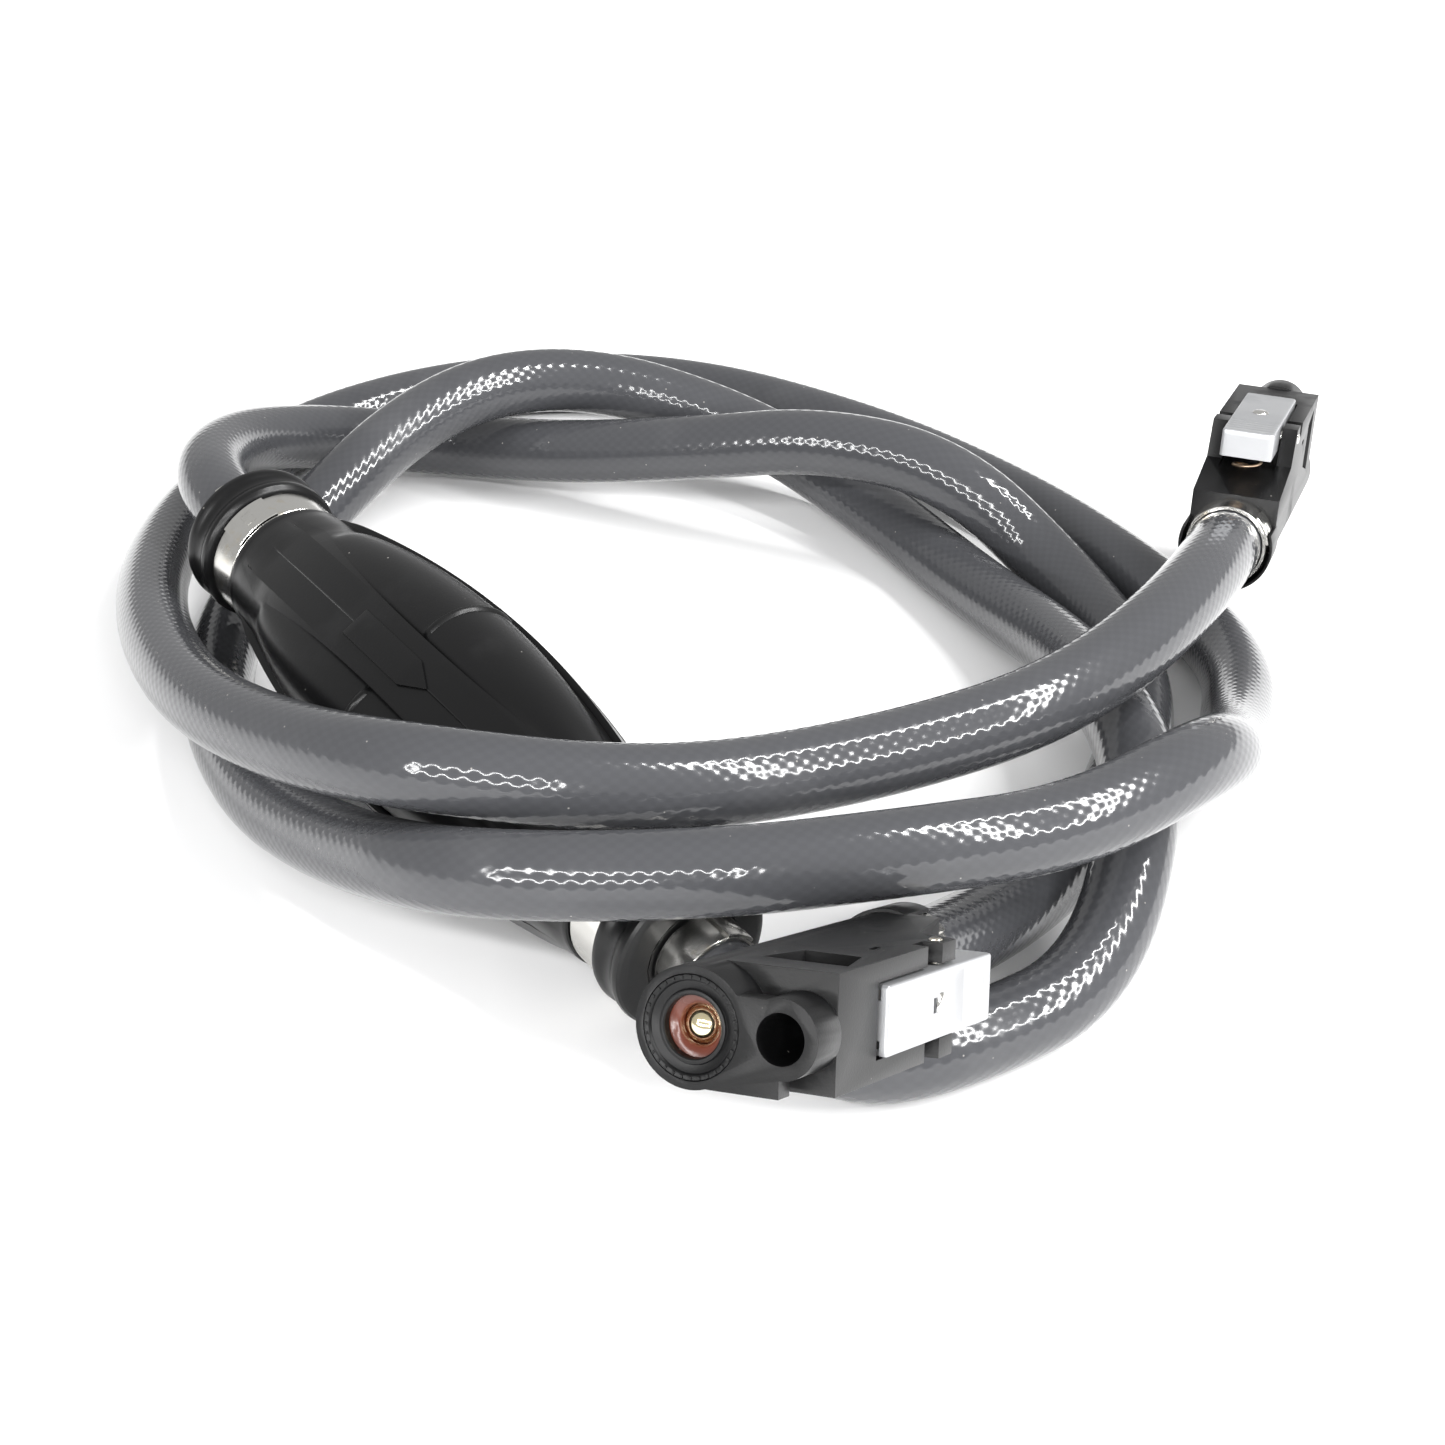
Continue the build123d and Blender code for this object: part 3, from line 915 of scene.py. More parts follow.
@dataclass
class BandClamp:
    """A flat steel band round a hose or neck, with a lapped, crimped end.

    Args:
        node: The CAD node it stands for.
        inner: Inside radius, mm.
        start: Where the band starts along the axis, mm.
        lap_turn: Where the middle of the lap lies, degrees from +Y.
        width: Width of the band, mm.
        thickness: Thickness of the steel, mm.
        lap_rise: How far the lap stands up, mm.
        lap_half: Half the lap's reach, degrees.
        edge: Rounding of the band's edges, mm.
    """

    node: str
    inner: float
    start: float
    lap_turn: float
    width: float = 7.5
    thickness: float = 0.8
    lap_rise: float = 0.6
    lap_half: float = 20.0
    edge: float = 0.14

    def section(self, low: float, high: float, inset: float = 0.0) -> list[tuple[float, float]]:
        """The band's closed section between two radii, (x, radius) in mm, with its corners cut.

        Args:
            low: Inside radius, mm.
            high: Outside radius, mm.
            inset: How much narrower it is on each side, mm.

        Returns:
            (x, radius) corners, the first one repeated.
        """
        x0, x1, c = self.start + inset, self.start + self.width - inset, self.edge
        return [
            (x0, low + c), (x0 + c, low), (x1 - c, low), (x1, low + c),
            (x1, high - c), (x1 - c, high), (x0 + c, high), (x0, high - c), (x0, low + c),
        ]

    def build(self, finishes: Finishes, placed: Matrix) -> bpy.types.Object:
        """Builds the band, placed from the frame it is drawn in to the row frame.

        Args:
            finishes: The pump's finishes.
            placed: From the frame it is drawn in to the row frame, mm.

        Returns:
            The band.
        """
        outer = self.inner + self.thickness
        mesh = lathe(self.section(self.inner, outer), steps=128)
        top = outer + self.lap_rise
        join(mesh, arc_of(self.section(outer - 0.2, top, 0.05), self.lap_turn, self.lap_half))
        join(mesh, self.crimp(top))
        wrap_round(mesh, outer)
        return finishes.settle(add_piece(f"{self.node}_band", mesh, placed), "clamp_steel", self.node)

    def crimp(self, top: float) -> bmesh.types.BMesh:
        """The pressed tongue across the middle of the lap.

        Args:
            top: Radius of the lap's outside, mm.

        Returns:
            The bmesh.
        """
        mesh = bmesh.new()
        size = Matrix.Diagonal((self.width * 0.46, 0.5, 2.2, 1.0))
        middle = Matrix.Translation((self.start + self.width / 2, top - 0.12, 0))
        bmesh.ops.create_cube(mesh, size=1.0, matrix=middle @ size)
        bevel(mesh, list(mesh.edges), 0.16, 2)
        turned = Matrix.Rotation(math.radians(self.lap_turn), 3, "X")
        bmesh.ops.rotate(mesh, cent=(0, 0, 0), matrix=turned, verts=mesh.verts)
        return mesh


@dataclass
class CoilSpring:
    """A compression spring of round wire.

    Args:
        node: The CAD node it stands for.
        radius: Radius to the middle of the wire, mm.
        wire: Diameter of the wire, mm.
        length: Length from its seat, mm.
        turns: Turns of wire.
        joint: The joint that presses it. Not used.
        travel: How far the joint presses it, mm. Not used.
        steps: Steps to a turn.
    """

    node: str
    radius: float
    wire: float
    length: float
    turns: float
    joint: str
    travel: float
    steps: int = 24

    def build(self, finishes: Finishes, seated: Matrix) -> bpy.types.Object:
        """Builds the spring, seated from its own frame, Z up from its seat, to the row frame.

        Args:
            finishes: The pump's finishes.
            seated: From the spring's own frame, Z up from its seat, to the row frame, mm.

        Returns:
            The spring.
        """
        mesh = bmesh.new()
        ring = bmesh.ops.create_circle(mesh, segments=10, radius=self.wire / 2)["verts"]
        upright = Matrix.Translation((self.radius, 0, self.wire / 2)) @ Matrix.Rotation(math.pi / 2, 4, "X")
        bmesh.ops.transform(mesh, matrix=upright, verts=ring)
        count = round(self.turns * self.steps)
        bmesh.ops.spin(
            mesh, geom=ring + list(mesh.edges), cent=(0, 0, 0), axis=(0, 0, 1), angle=math.tau * self.turns,
            dvec=(0, 0, (self.length - self.wire) / count), steps=count, use_merge=False,
        )
        close_holes(mesh)
        piece = finishes.settle(add_piece(f"{self.node}_wire", mesh, seated), "spring_wire", self.node)
        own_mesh(piece)
        return piece


# --- bulb -------------------------------------------------------------------------------------


BULB_HALF = 82.5
BULB_HEIGHT = 25.05
BULB_TILT = 5.0


def bulb_frame() -> Matrix:
    """From the bulb's own frame to the row frame, mm."""
    return Matrix.Translation((0, 0, BULB_HEIGHT)) @ Matrix.Rotation(math.radians(BULB_TILT), 4, "Y")


def bulb_port(side: int, out: float) -> Point:
    """A point on the bulb's axis, out mm beyond a collar: side -1 at the tank end, 1 at the engine end."""
    return tuple(bulb_frame() @ Vector((side * (BULB_HALF + out), 0, 0)))


@dataclass
class SqueezeBulb:
    """The rubber bulb: bulging lobes between four flat moulded strips, with a collar at each end.

    Args:
        belly_half: Half the belly's length, mm.
        belly_end: Radius where the belly meets the necks.
        belly: Largest radius.
        wall: Rubber thickness of the belly.
        roll: How far the strips are turned round the axis, degrees.
        strip_half: Half a strip's width.
        strip_rise: How far a strip's edges stand above the valley beside them.
        lobe_rise: How far a lobe bulges at its middle.
        margin: Flat rubber between a strip and a lobe's foot, near a lobe's ends.
    """

    belly_half: float = 52.0
    belly_end: float = 17.5
    belly: float = 23.2
    wall: float = 3.2
    roll: float = 33.0
    strip_half: float = 6.6
    strip_rise: float = 1.55
    lobe_rise: float = 2.9
    margin: float = 3.4

    def belly_radius(self, x: float) -> float:
        """The belly's radius at x, mm."""
        return self.belly - (self.belly - self.belly_end) * (x / self.belly_half) ** 2

    def profile(self) -> list[Station]:
        """The rubber's closed half section: collar, groove, lip, belly, then back along the cavity.

        Returns:
            (x, radius) corners, the first one repeated.
        """
        collar = [
            (BULB_HALF, 9.45), (BULB_HALF, 13.4), (82.4, 14.2), (82.1, 14.9), (81.6, 15.35), (80.9, 15.5),
            (80.1, 15.4), (79.4, 15.0), (78.7, 14.72), (77.8, 14.65), (76.9, 14.72), (76.2, 15.0),
            (75.5, 15.4), (74.8, 15.5), (74.1, 15.35), (73.5, 14.9), (73.15, 14.3), (73.0, 13.3),
            (72.8, 13.2), (64.8, 13.2), (64.5, 13.4), (64.45, 14.1), (64.2, 14.45), (63.7, 14.62),
            (63.0, 14.6), (62.0, 14.7), (60.5, 15.0), (58.5, 15.55),
            (56.0, 16.3), (54.0, 16.95), (52.0, 17.5),
        ]
        spots = [50.5 - 1.5 * step for step in range(33)] + [1.6, 0.95, 0.62, 0.3]
        half = collar + [(x, self.belly_radius(x)) for x in spots]
        inside = [(BULB_HALF, 9.45), (48.0, 9.45)]
        inside += [(x, self.belly_radius(x) - self.wall) for x in (47.5, 44.0, 36.0, 27.0, 18.0, 9.0)]
        outer = [(-x, r) for x, r in half] + [(0.0, self.belly)] + [(x, r) for x, r in reversed(half)]
        cavity = inside[1:] + [(0.0, self.belly - self.wall)] + [(-x, r) for x, r in reversed(inside[1:])]
        return outer + cavity + [outer[0]]

    def moulded(self, x: float, step: float) -> Station:
        """Where a point of the outside goes on the moulded belly.

        The lathe turns in steps of 2.25 degrees. From a strip's middle, ten of them make half the strip,
        the eleventh drops into the valley beside it, and eight more make half a lobe.

        Args:
            x: Distance from the bulb's middle, mm.
            step: Even angle from the nearest strip's middle, 0 to 45 degrees.

        Returns:
            The new angle from the strip's middle in degrees, and the new radius.
        """
        base = self.belly_radius(x) - 1.5
        edge_radius = base + self.strip_rise
        flat = math.sqrt(edge_radius**2 - self.strip_half**2)
        inner = math.degrees(math.asin(self.strip_half / edge_radius))
        outer = inner + math.degrees(0.3 / base)
        gap = 0.35 + self.margin * min(1.0, abs(x) / 50.0) ** 2.2
        foot = outer + math.degrees(gap / base)
        if step < 1.2:
            return 0.0, flat + 0.16
        if step <= 22.6:
            angle = 0.5 + (step - 2.25) / 20.25 * (inner - 0.5)
            lowered = 0.12 if step > 22.0 else 0.0
            return angle, flat / math.cos(math.radians(angle)) - lowered
        if step < 26.0:
            return outer, base
        share = min(1.0, max(0.0, (step - 27.0) / 18.0))
        angle = foot + share * (45.0 - foot)
        reach = max(0.0, 1.0 - (x / 46.5) ** 2) ** 0.36
        rise = self.lobe_rise * reach * math.sin(share * math.pi / 2) ** 0.72
        if abs(x) < 0.7:
            rise += 0.5 * min(1.0, share * 7.0) * (1.0 if abs(x) < 0.4 else 0.7)
        return angle, base + rise

    def shape(self, mesh: bmesh.types.BMesh) -> None:
        """Moves the belly's outside into strips, lobes and the mould's mid rib.

        Args:
            mesh: The bmesh.
        """
        for vert in mesh.verts:
            x, radius = vert.co.x, math.hypot(vert.co.y, vert.co.z)
            if abs(x) > 58.6 or radius < self.belly_radius(x) - 1.0:
                continue
            angle = math.degrees(math.atan2(vert.co.z, vert.co.y))
            quarter = round(angle / 90.0) * 90.0
            local = angle - quarter
            at = max(-self.belly_half, min(self.belly_half, x))
            turned, moved = self.moulded(at, abs(local))
            fade = max(0.0, (abs(x) - self.belly_half) / (60.0 - self.belly_half))
            moved += radius - self.belly_radius(at)
            turn = math.radians(quarter + math.copysign(turned * (1 - fade) + abs(local) * fade, local))
            moved = moved * (1 - fade) + radius * fade
            vert.co.y, vert.co.z = moved * math.cos(turn), moved * math.sin(turn)

    def arrow(self) -> bmesh.types.BMesh:
        """The raised flow arrow: a tag on one strip, pointed at its engine end.

        Returns:
            The bmesh.
        """
        mesh = bmesh.new()
        bmesh.ops.create_cube(mesh, size=1.0, matrix=Matrix.Diagonal((27.5, 6.4, 2.0, 1.0)))
        bmesh.ops.translate(mesh, vec=(-1.25, 0, 0), verts=mesh.verts)
        for side in (-1, 1):
            everything = [*mesh.verts, *mesh.edges, *mesh.faces]
            bmesh.ops.bisect_plane(
                mesh, geom=everything, dist=0.0001, plane_co=(12.5, 0, 0), plane_no=(3.2, side * 6.3, 0),
                clear_outer=True,
            )
            close_holes(mesh)
        bevel(mesh, [edge for edge in mesh.edges if all(vert.co.z > 0.9 for vert in edge.verts)], 0.18, 2)
        cut_across(mesh, 0, [-13.0 + 2.5 * step for step in range(10)])
        for vert in mesh.verts:
            turned, flat = self.moulded(vert.co.x, 2.25)
            vert.co.z += flat * math.cos(math.radians(turned)) - 0.45
        return mesh

    def build(self, finishes: Finishes) -> None:
        """Builds the bulb.

        Args:
            finishes: The pump's finishes.
        """
        mesh = lathe(self.profile(), steps=160)
        self.shape(mesh)
        join(mesh, self.arrow())
        wrap_round(mesh, self.belly)
        rolled = bulb_frame() @ Matrix.Rotation(math.radians(self.roll), 4, "X")
        piece = add_piece("bulb_rubber_body", mesh, rolled, sharp=24)
        finishes.settle(piece, "bulb_rubber", "bulb_body")
        LOG.info("bulb: %d faces", len(piece.data.polygons))


# --- quick connectors -------------------------------------------------------------------------


@dataclass
class QuickConnector:
    """One quick connector: black housing, sprung steel lever, retainer, seal and check ball.

    In its own frame u runs to the mouth, v to the lever and w across.

    Args:
        name: Prefix of its nodes.
        end: Middle of the hose entry, mm.
        turn: Yaw, pitch and roll, degrees.
        latch: Body of the lever.
        ball: Body of the check ball.
        pin_at: Where the lever's pin stands, (u, v) in mm.
        lever_spring_at: Where the lever's spring is seated, (u, v) in mm.
        rivet_u: Where the rivet stands, and the middle of the lever.
        ball_seat_u: Where the ball's spring is seated.
        ball_u: The ball's middle.
        ball_radius: The ball's radius, mm.
        lever_top: Just under the lever's top, mm.
        groove_u: The first thumb groove.
        groove_gap: From one groove to the next, mm.
    """

    name: str
    end: Point
    turn: Point
    latch: Body
    ball: Body
    pin_at: Station = (21.5, 17.8)
    lever_spring_at: Station = (12.6, 11.6)
    rivet_u: float = 26.0
    ball_seat_u: float = 45.0
    ball_u: float = 61.87
    ball_radius: float = 3.2
    lever_top: float = 21.1
    groove_u: float = 9.1
    groove_gap: float = 2.0

    def frame(self) -> Matrix:
        """From the connector's own frame to the row frame, mm.

        Returns:
            The matrix.
        """
        yaw, pitch, roll = (math.radians(angle) for angle in self.turn)
        leaning = Matrix.Rotation(yaw, 4, "Z") @ Matrix.Rotation(-pitch, 4, "Y")
        leaning = leaning @ Matrix.Rotation(roll, 4, "X")
        return Matrix.Translation(self.end) @ leaning

    def behind(self, distance: float) -> Point:
        """A point on the hose axis behind the entry, mm."""
        return tuple(self.frame() @ Vector((-distance, 0, 0)))

    def node(self, part: str) -> str:
        """The name of one of its CAD nodes."""
        return f"{self.name}_connector_{part}"

    def housing(self, nodes: dict[str, bpy.types.Object]) -> bpy.types.Object:
        """A copy of the CAD housing with its triangles merged and its edges rounded.

        Args:
            nodes: The CAD nodes.

        Returns:
            The housing.
        """
        name = self.node("housing")
        mesh = bmesh.new()
        mesh.from_mesh(nodes[name].data)
        bmesh.ops.remove_doubles(mesh, verts=mesh.verts, dist=0.00002)
        bmesh.ops.dissolve_limit(mesh, angle_limit=math.radians(1.0), verts=mesh.verts, edges=mesh.edges)
        piece = show(f"{name}_moulded", smooth_data(mesh, name))
        round_edges(piece, 0.4, segments=3)
        return piece

    def lever(self) -> bpy.types.Object:
        """The pressed lever: a tray with rolled corners, side flanges, a hook tongue and thumb grooves.

        Returns:
            The lever.
        """
        mesh = bmesh.new()
        size = Matrix.Diagonal((38.6, 5.8, 10.8, 1.0))
        bmesh.ops.create_cube(mesh, size=1.0, matrix=Matrix.Translation((self.rivet_u, 18.3, 0)) @ size)
        uprights = [edge for edge in mesh.edges if abs(edge.verts[0].co.y - edge.verts[1].co.y) > 1]
        bevel(mesh, uprights, 0.6, 3)
        top = [edge for edge in mesh.edges if all(vert.co.y > self.lever_top for vert in edge.verts)]
        bevel(mesh, top, 0.45, 3)
        grooves = [self.groove_u + self.groove_gap * step for step in range(5)]
        cuts = [place + shift for place in grooves for shift in (-0.45, -0.1, 0.1, 0.45)]
        cut_across(mesh, 0, [*cuts, 27.7, 28.8, 42.6, 44.2])
        cut_across(mesh, 1, [19.9])
        cut_across(mesh, 2, [-4.1, -3.0, -1.2, 1.2, 3.0, 4.1])
        gone = [face for face in mesh.faces if self.is_open(face.calc_center_median(), face.normal)]
        bmesh.ops.delete(mesh, geom=gone, context="FACES")
        bmesh.ops.solidify(mesh, geom=list(mesh.faces), thickness=0.95)
        for vert in mesh.verts:
            pressed = any(abs(vert.co.x - place) < 0.2 for place in grooves)
            if pressed and vert.co.y > self.lever_top and abs(vert.co.z) < 4.2:
                vert.co.y -= 0.2
        lay_flat(mesh)
        piece = add_piece(f"{self.name}_lever_plate", mesh, self.frame(), sharp=50)
        round_edges(piece, 0.12)
        return piece

    def is_open(self, middle: Vector, normal: Vector) -> bool:
        """Whether a face of the lever's block is left out: the underside, beside the tongue, and the slot.

        Args:
            middle: The face's middle, mm.
            normal: The face's normal.

        Returns:
            True if the face is left out.
        """
        beside_tongue = middle.x > 44.0 and abs(middle.z) > 3.0 and middle.y < 19.9
        slot = 27.7 < middle.x < 28.8 and abs(middle.z) < 1.2 and middle.y > 21.0
        return normal.y < -0.9 or beside_tongue or slot

    def retainer(self) -> bpy.types.Object:
        """The black ring in the mouth: a notched rim, a sloping dish and a small lip round the bore.

        Returns:
            The ring.
        """
        ring = [
            (65.0, 4.7), (65.0, 7.7), (66.9, 7.78), (67.05, 7.65), (67.05, 7.1), (66.95, 6.95), (66.5, 6.75),
            (66.2, 6.1), (66.1, 5.6), (66.25, 5.45), (66.55, 5.4), (66.65, 5.2), (66.6, 4.85), (66.4, 4.65),
            (66.1, 4.6), (65.1, 4.6), (65.0, 4.7),
        ]
        mesh = lathe(ring, steps=96)
        rim = [face for face in mesh.faces if face.calc_center_median().x > 67.04]
        rim.sort(key=lambda face: math.atan2(face.calc_center_median().z, face.calc_center_median().y))
        bmesh.ops.inset_individual(mesh, faces=rim[::3], thickness=0.06, depth=-0.16)
        return add_piece(f"{self.name}_retainer_ring", mesh, self.frame())

    def seal(self) -> bpy.types.Object:
        """The red-brown seal behind the retainer.

        Returns:
            The seal.
        """
        ring = [
            (62.25, 3.4), (62.95, 3.4), (63.0, 3.1), (63.1, 3.0), (63.9, 3.0), (64.2, 3.1), (64.5, 3.4),
            (64.75, 3.9), (64.9, 4.4), (64.97, 5.0), (64.97, 6.45), (62.25, 6.45), (62.25, 3.4),
        ]
        return add_piece(f"{self.name}_mouth_seal", lathe(ring, steps=64), self.frame())

    def check_ball(self) -> bpy.types.Object:
        """The check ball, with a fine witness line and a small flat behind.

        Returns:
            The ball.
        """
        turns = [-66, -54, -42, -30, -18, -6, 6, 18, 28, 30, 32, 42, 54, 66, 76, 84]
        full, middle = self.ball_radius, self.ball_u
        round_side = [(full - (0.08 if turn == 30 else 0.0), math.radians(turn)) for turn in turns]
        side = [(middle + r * math.sin(a), r * math.cos(a)) for r, a in round_side]
        rear = [(side[0][0], 0.0), (side[0][0], side[0][1] - 0.15)]
        outline = [*rear, *side, (middle + full, 0.0)]
        return add_piece(f"{self.name}_ball", lathe(outline, steps=48), self.frame())

    def pin(self) -> bpy.types.Object:
        """The lever's cross pin, with chamfered ends.

        Returns:
            The pin.
        """
        side = [(9.3, 0.0), (9.3, 0.85), (9.1, 1.12), (8.8, 1.2)]
        across = self.frame() @ Matrix.Translation((*self.pin_at, 0)) @ Matrix.Rotation(math.pi / 2, 4, "Y")
        mesh = lathe([*side, *((-x, r) for x, r in reversed(side))], steps=32)
        return add_piece(f"{self.name}_hinge_pin", mesh, across)

    def rivet(self) -> bpy.types.Object:
        """The rivet with a domed head on the lever.

        Returns:
            The rivet.
        """
        side = [
            (19.6, 0.0), (19.6, 1.4), (19.8, 1.6), (20.2, 1.6), (20.2, 0.9), (21.15, 0.9), (21.15, 1.75),
            (21.3, 1.75), (21.5, 1.6), (21.68, 1.25), (21.78, 0.7), (21.8, 0.0),
        ]
        spot = Matrix.Translation((self.rivet_u, 0, 0))
        upright = self.frame() @ spot @ Matrix.Rotation(math.pi / 2, 4, "Z")
        return add_piece(f"{self.name}_rivet_head", lathe(side, steps=40), upright)

    def build(self, finishes: Finishes, nodes: dict[str, bpy.types.Object]) -> list[object]:
        """Builds the connector's pieces.

        Args:
            finishes: The pump's finishes.
            nodes: The CAD nodes.

        Returns:
            What goes with the hose on its end.
        """
        fixed = Body.ASSEMBLY
        below = Matrix.Translation((*self.lever_spring_at, 0))
        behind = Matrix.Translation((self.ball_seat_u, 0, 0))
        up_lever = self.frame() @ below @ Matrix.Rotation(-math.pi / 2, 4, "X")
        to_mouth = self.frame() @ behind @ Matrix.Rotation(math.pi / 2, 4, "Y")
        press, shut = f"{self.name}_latch_press", f"{self.name}_ball_open"
        parts = (
            (self.housing(nodes), "black_plastic", "housing", fixed),
            (self.lever(), "lever_steel", "latch_lever", self.latch),
            (self.rivet(), "clamp_steel", "lever_rivet", self.latch),
            (self.check_ball(), "ball_metal", "check_ball", self.ball),
            (self.retainer(), "black_plastic", "seal_retainer", fixed),
            (self.seal(), "seal_rubber", "port_seal", fixed),
            (self.pin(), "clamp_steel", "lever_pin", fixed),
        )
        pieces = [
            finishes.settle(piece, finish, self.node(part), body) for piece, finish, part, body in parts
        ]
        pieces += [
            BandClamp(
                self.node("hose_band"), inner=7.55, start=-7.8, lap_turn=60.0,
            ).build(finishes, self.frame()),
            CoilSpring(
                self.node("lever_spring"), radius=2.9, wire=0.7, length=8.6, turns=3.5,
                joint=press, travel=2.25,
            ).build(finishes, up_lever),
            CoilSpring(
                self.node("ball_spring"), radius=2.3, wire=0.6, length=14.32, turns=5.0,
                joint=shut, travel=3.0,
            ).build(finishes, to_mouth),
        ]
        LOG.info("%s connector: %d pieces", self.name, len(pieces))
        return [*pieces, nodes[self.node("hose_stem")]]


# --- the stage --------------------------------------------------------------------------------


@dataclass
class Studio:
    """Pale floor, soft lights and the camera.

    Args:
        camera_at: Where the camera stands, m.
        look: The way it looks.
        lens: Focal length, mm.
        floor_half: Half the floor's side, mm.
        floor_grey: Brightness of the floor.
        sky: Strength of the white world.
        bar: Width of a softbox's strips, m.
        power: Watts for a whole softbox.
    """

    camera_at: Point = (0.4109, -0.2240, 0.2935)
    look: Point = (-0.7094, 0.4967, -0.5)
    lens: float = 69.76
    floor_half: float = 6000.0
    floor_grey: float = 0.93
    sky: float = 0.58
    bar: float = 0.045
    power: float = 30.0

    def camera(self) -> None:
        """Adds the camera."""
        data = bpy.data.cameras.new("camera")
        data.lens, data.sensor_width, data.sensor_height = self.lens, 36.0, 36.0
        camera = show("camera", data)
        facing = Vector(self.look).to_track_quat("-Z", "Y").to_matrix().to_4x4()
        camera.matrix_world = Matrix.Translation(self.camera_at) @ facing
        bpy.context.scene.camera = camera

    def softbox(self, name: str, at: Point, aim: Point, size: Station, roll: float = 0.0) -> None:
        """Adds a hollow rectangular softbox made of four strips of light.

        Args:
            name: The light's name.
            at: Its middle, m.
            aim: The point it faces.
            size: Its width and height, m.
            roll: Turn about the way it faces, degrees.
        """
        facing = (Vector(aim) - Vector(at)).to_track_quat("-Z", "Y").to_matrix().to_4x4()
        facing = facing @ Matrix.Rotation(math.radians(roll), 4, "Z")
        (wide, high), bar = size, self.bar
        strips = [
            ("top", (0, (high - bar) / 2, 0), (wide, bar)), ("foot", (0, (bar - high) / 2, 0), (wide, bar)),
            ("left", ((bar - wide) / 2, 0, 0), (bar, high - 2 * bar)),
            ("right", ((wide - bar) / 2, 0, 0), (bar, high - 2 * bar)),
        ]
        whole = sum(w * h for _, _, (w, h) in strips)
        for label, place, (across, up) in strips:
            data = bpy.data.lights.new(f"{name}_{label}", "AREA")
            data.shape = "RECTANGLE"
            data.size, data.size_y = across, up
            data.energy = self.power * across * up / whole
            light = show(data.name, data)
            light.matrix_world = Matrix.Translation(at) @ facing @ Matrix.Translation(place)

    def build(self) -> None:
        """Adds floor, world, lights and camera."""
        mesh = bmesh.new()
        bmesh.ops.create_grid(mesh, x_segments=2, y_segments=2, size=self.floor_half)
        floor = add_piece("floor", mesh, Matrix.Identity(4))
        paint = bpy.data.materials.new("floor_paper")
        paint.use_nodes = True
        paper = paint.node_tree.nodes["Principled BSDF"].inputs
        paper["Base Color"].default_value = (self.floor_grey, self.floor_grey, self.floor_grey, 1.0)
        paper["Roughness"].default_value = 0.9
        floor.data.materials.append(paint)
        world = bpy.data.worlds.new("studio")
        world.use_nodes = True
        air = world.node_tree.nodes["Background"].inputs
        air["Color"].default_value = (1.0, 1.0, 1.0, 1.0)
        air["Strength"].default_value = self.sky
        bpy.context.scene.world = world
        bpy.context.scene.view_settings.view_transform = "Standard"
        self.softbox("near", (0.65, -0.85, 0.585), (0.07, -0.02, 0.045), (1.5, 0.5))
        self.softbox("far", (0.66, 0.64, 0.835), (0.09, 0.03, 0.045), (0.4, 1.1), roll=-41.0)
        self.camera()


# --- the lines the hoses lie along ------------------------------------------------------------

TANK_ROUTE: list[Point] = [
    (-139, 21, 27), (-155, 52, 15), (-148, 80, 8), (-115, 98, 13), (-84, 117, 21),
    (-60, 133, 28), (-32, 149, 27), (-6, 161, 7.7), (40, 144, 7.7), (76, 106, 7.7),
]
ENGINE_ROUTE: list[Point] = [
    (114, 12, 8), (119, 31, 7.8), (118, 63, 7.8), (95, 93, 24), (68, 110, 24.5),
    (28, 130, 14), (-10, 140, 7.7), (-62, 148, 7.7), (-99, 140, 16), (-124, 107, 29),
    (-129, 69, 29), (-114, 17, 7.7), (-72, -18, 7.7), (-22, -34, 11), (24, -38, 23),
    (70, -38, 41.5), (95, -6, 43), (107, 26, 42), (114, 58, 39), (109, 93, 39),
    (87, 124, 19), (46, 166, 7.7), (0, 175, 7.7), (-40, 178, 7.7), (-90, 173, 7.7),
    (-146, 152, 7.7), (-175, 108, 7.7), (-175, 58, 7.7), (-149, 14, 7.7), (-97, -20, 17),
    (-38, -39, 28), (12, -42, 40.5), (54, -34, 52.5), (73, 0, 45.5), (79, 42, 41), (82, 84, 41),
]

CAD_FINISHES: dict[str, str] = {
    "valve_body": "black_plastic", "poppet": "white_plastic", "valve_spring": "spring_wire",
    "clamp": "clamp_steel", "housing": "black_plastic", "seal_retainer": "black_plastic",
    "port_seal": "seal_rubber", "check_ball": "ball_metal", "ball_spring": "spring_wire",
    "hose_stem": "ball_metal", "hose_band": "clamp_steel", "latch_lever": "lever_steel",
    "lever_pin": "clamp_steel", "lever_spring": "spring_wire", "lever_rivet": "lever_steel",
    "hose": "hose_grey", "bulb_body": "bulb_rubber",
}


def dress_cad(finishes: Finishes, nodes: dict[str, bpy.types.Object]) -> None:
    """Gives every CAD node the finish that its name asks for.

    Args:
        finishes: The pump's finishes.
        nodes: The CAD nodes.
    """
    for name, node in nodes.items():
        ending = next(part for part in CAD_FINISHES if name.endswith(part))
        finishes.dress(node, CAD_FINISHES[ending])


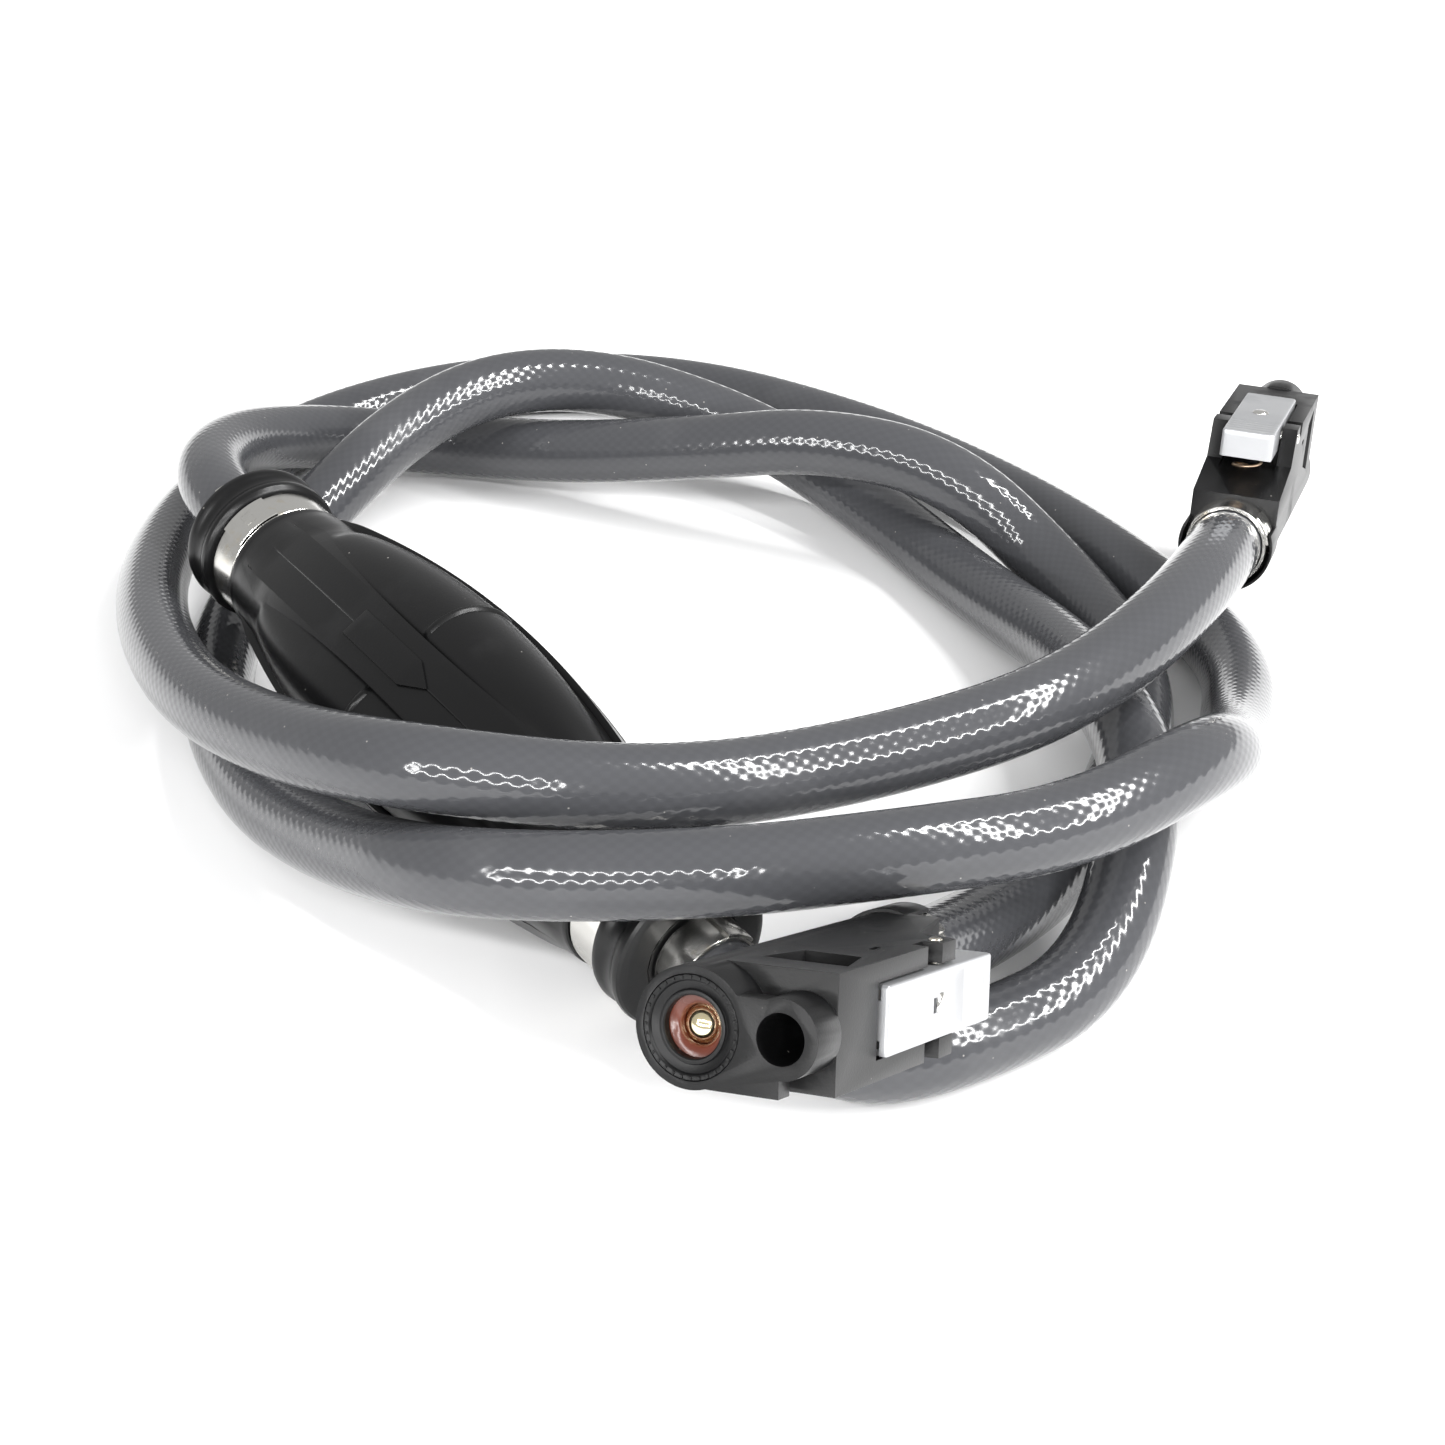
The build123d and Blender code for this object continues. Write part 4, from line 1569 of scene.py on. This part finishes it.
def build_clamps(finishes: Finishes) -> None:
    """The four clamps on the bulb's necks and hose ends.

    Args:
        finishes: The pump's finishes.
    """
    for node, inner, start, lap_turn in (
        ("inlet_neck_clamp", 13.25, -72.5, 120.0), ("outlet_neck_clamp", 13.25, 65.0, 60.0),
        ("inlet_hose_clamp", 7.55, -90.4, 100.0), ("outlet_hose_clamp", 7.55, 82.9, 60.0),
    ):
        BandClamp(node, inner, start, lap_turn).build(finishes, bulb_frame())


def build_valve_springs(finishes: Finishes) -> None:
    """The two springs that shut the bulb's valves, each seated on its guide wall.

    Args:
        finishes: The pump's finishes.
    """
    back = Matrix.Rotation(-math.pi / 2, 4, "Y")
    for side, seat in (("inlet", -57.5), ("outlet", 77.5)):
        spring = CoilSpring(
            f"{side}_valve_spring", radius=3.0, wire=0.6, length=14.0, turns=4.0, joint=f"{side}_poppet_open",
            travel=2.0,
        )
        spring.build(finishes, bulb_frame() @ Matrix.Translation((seat, 0, 0)) @ back)


def main() -> None:
    """Builds the pump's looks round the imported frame."""
    logging.basicConfig(level=logging.INFO, format="%(name)s: %(message)s")
    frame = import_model()
    nodes = frame["nodes"]
    Studio().build()
    finishes = Finishes()
    dress_cad(finishes, nodes)
    tank = QuickConnector("tank", (115.5, 16.0, 28.0), (-66.0, 23.0, 11.0), Body.TANK_LATCH, Body.TANK_BALL)
    engine = QuickConnector(
        "engine", (40.0, 165.5, 34.0), (127.0, -11.0, 91.0), Body.ENGINE_LATCH, Body.ENGINE_BALL,
    )
    on_tank, on_engine = tank.build(finishes, nodes), engine.build(finishes, nodes)
    tank_line = [bulb_port(-1, 0), bulb_port(-1, 24.0), *TANK_ROUTE, tank.behind(45.0), tank.end]
    engine_line = [bulb_port(1, 0), bulb_port(1, 20.0), *ENGINE_ROUTE, engine.behind(44.0), engine.end]
    FuelHose("tank_hose", tank_line, 0.496).build(finishes, on_tank)
    FuelHose("engine_hose", engine_line, 1.694).build(finishes, on_engine)
    SqueezeBulb().build(finishes)
    build_clamps(finishes)
    build_valve_springs(finishes)


if __name__ == "__main__":
    main()
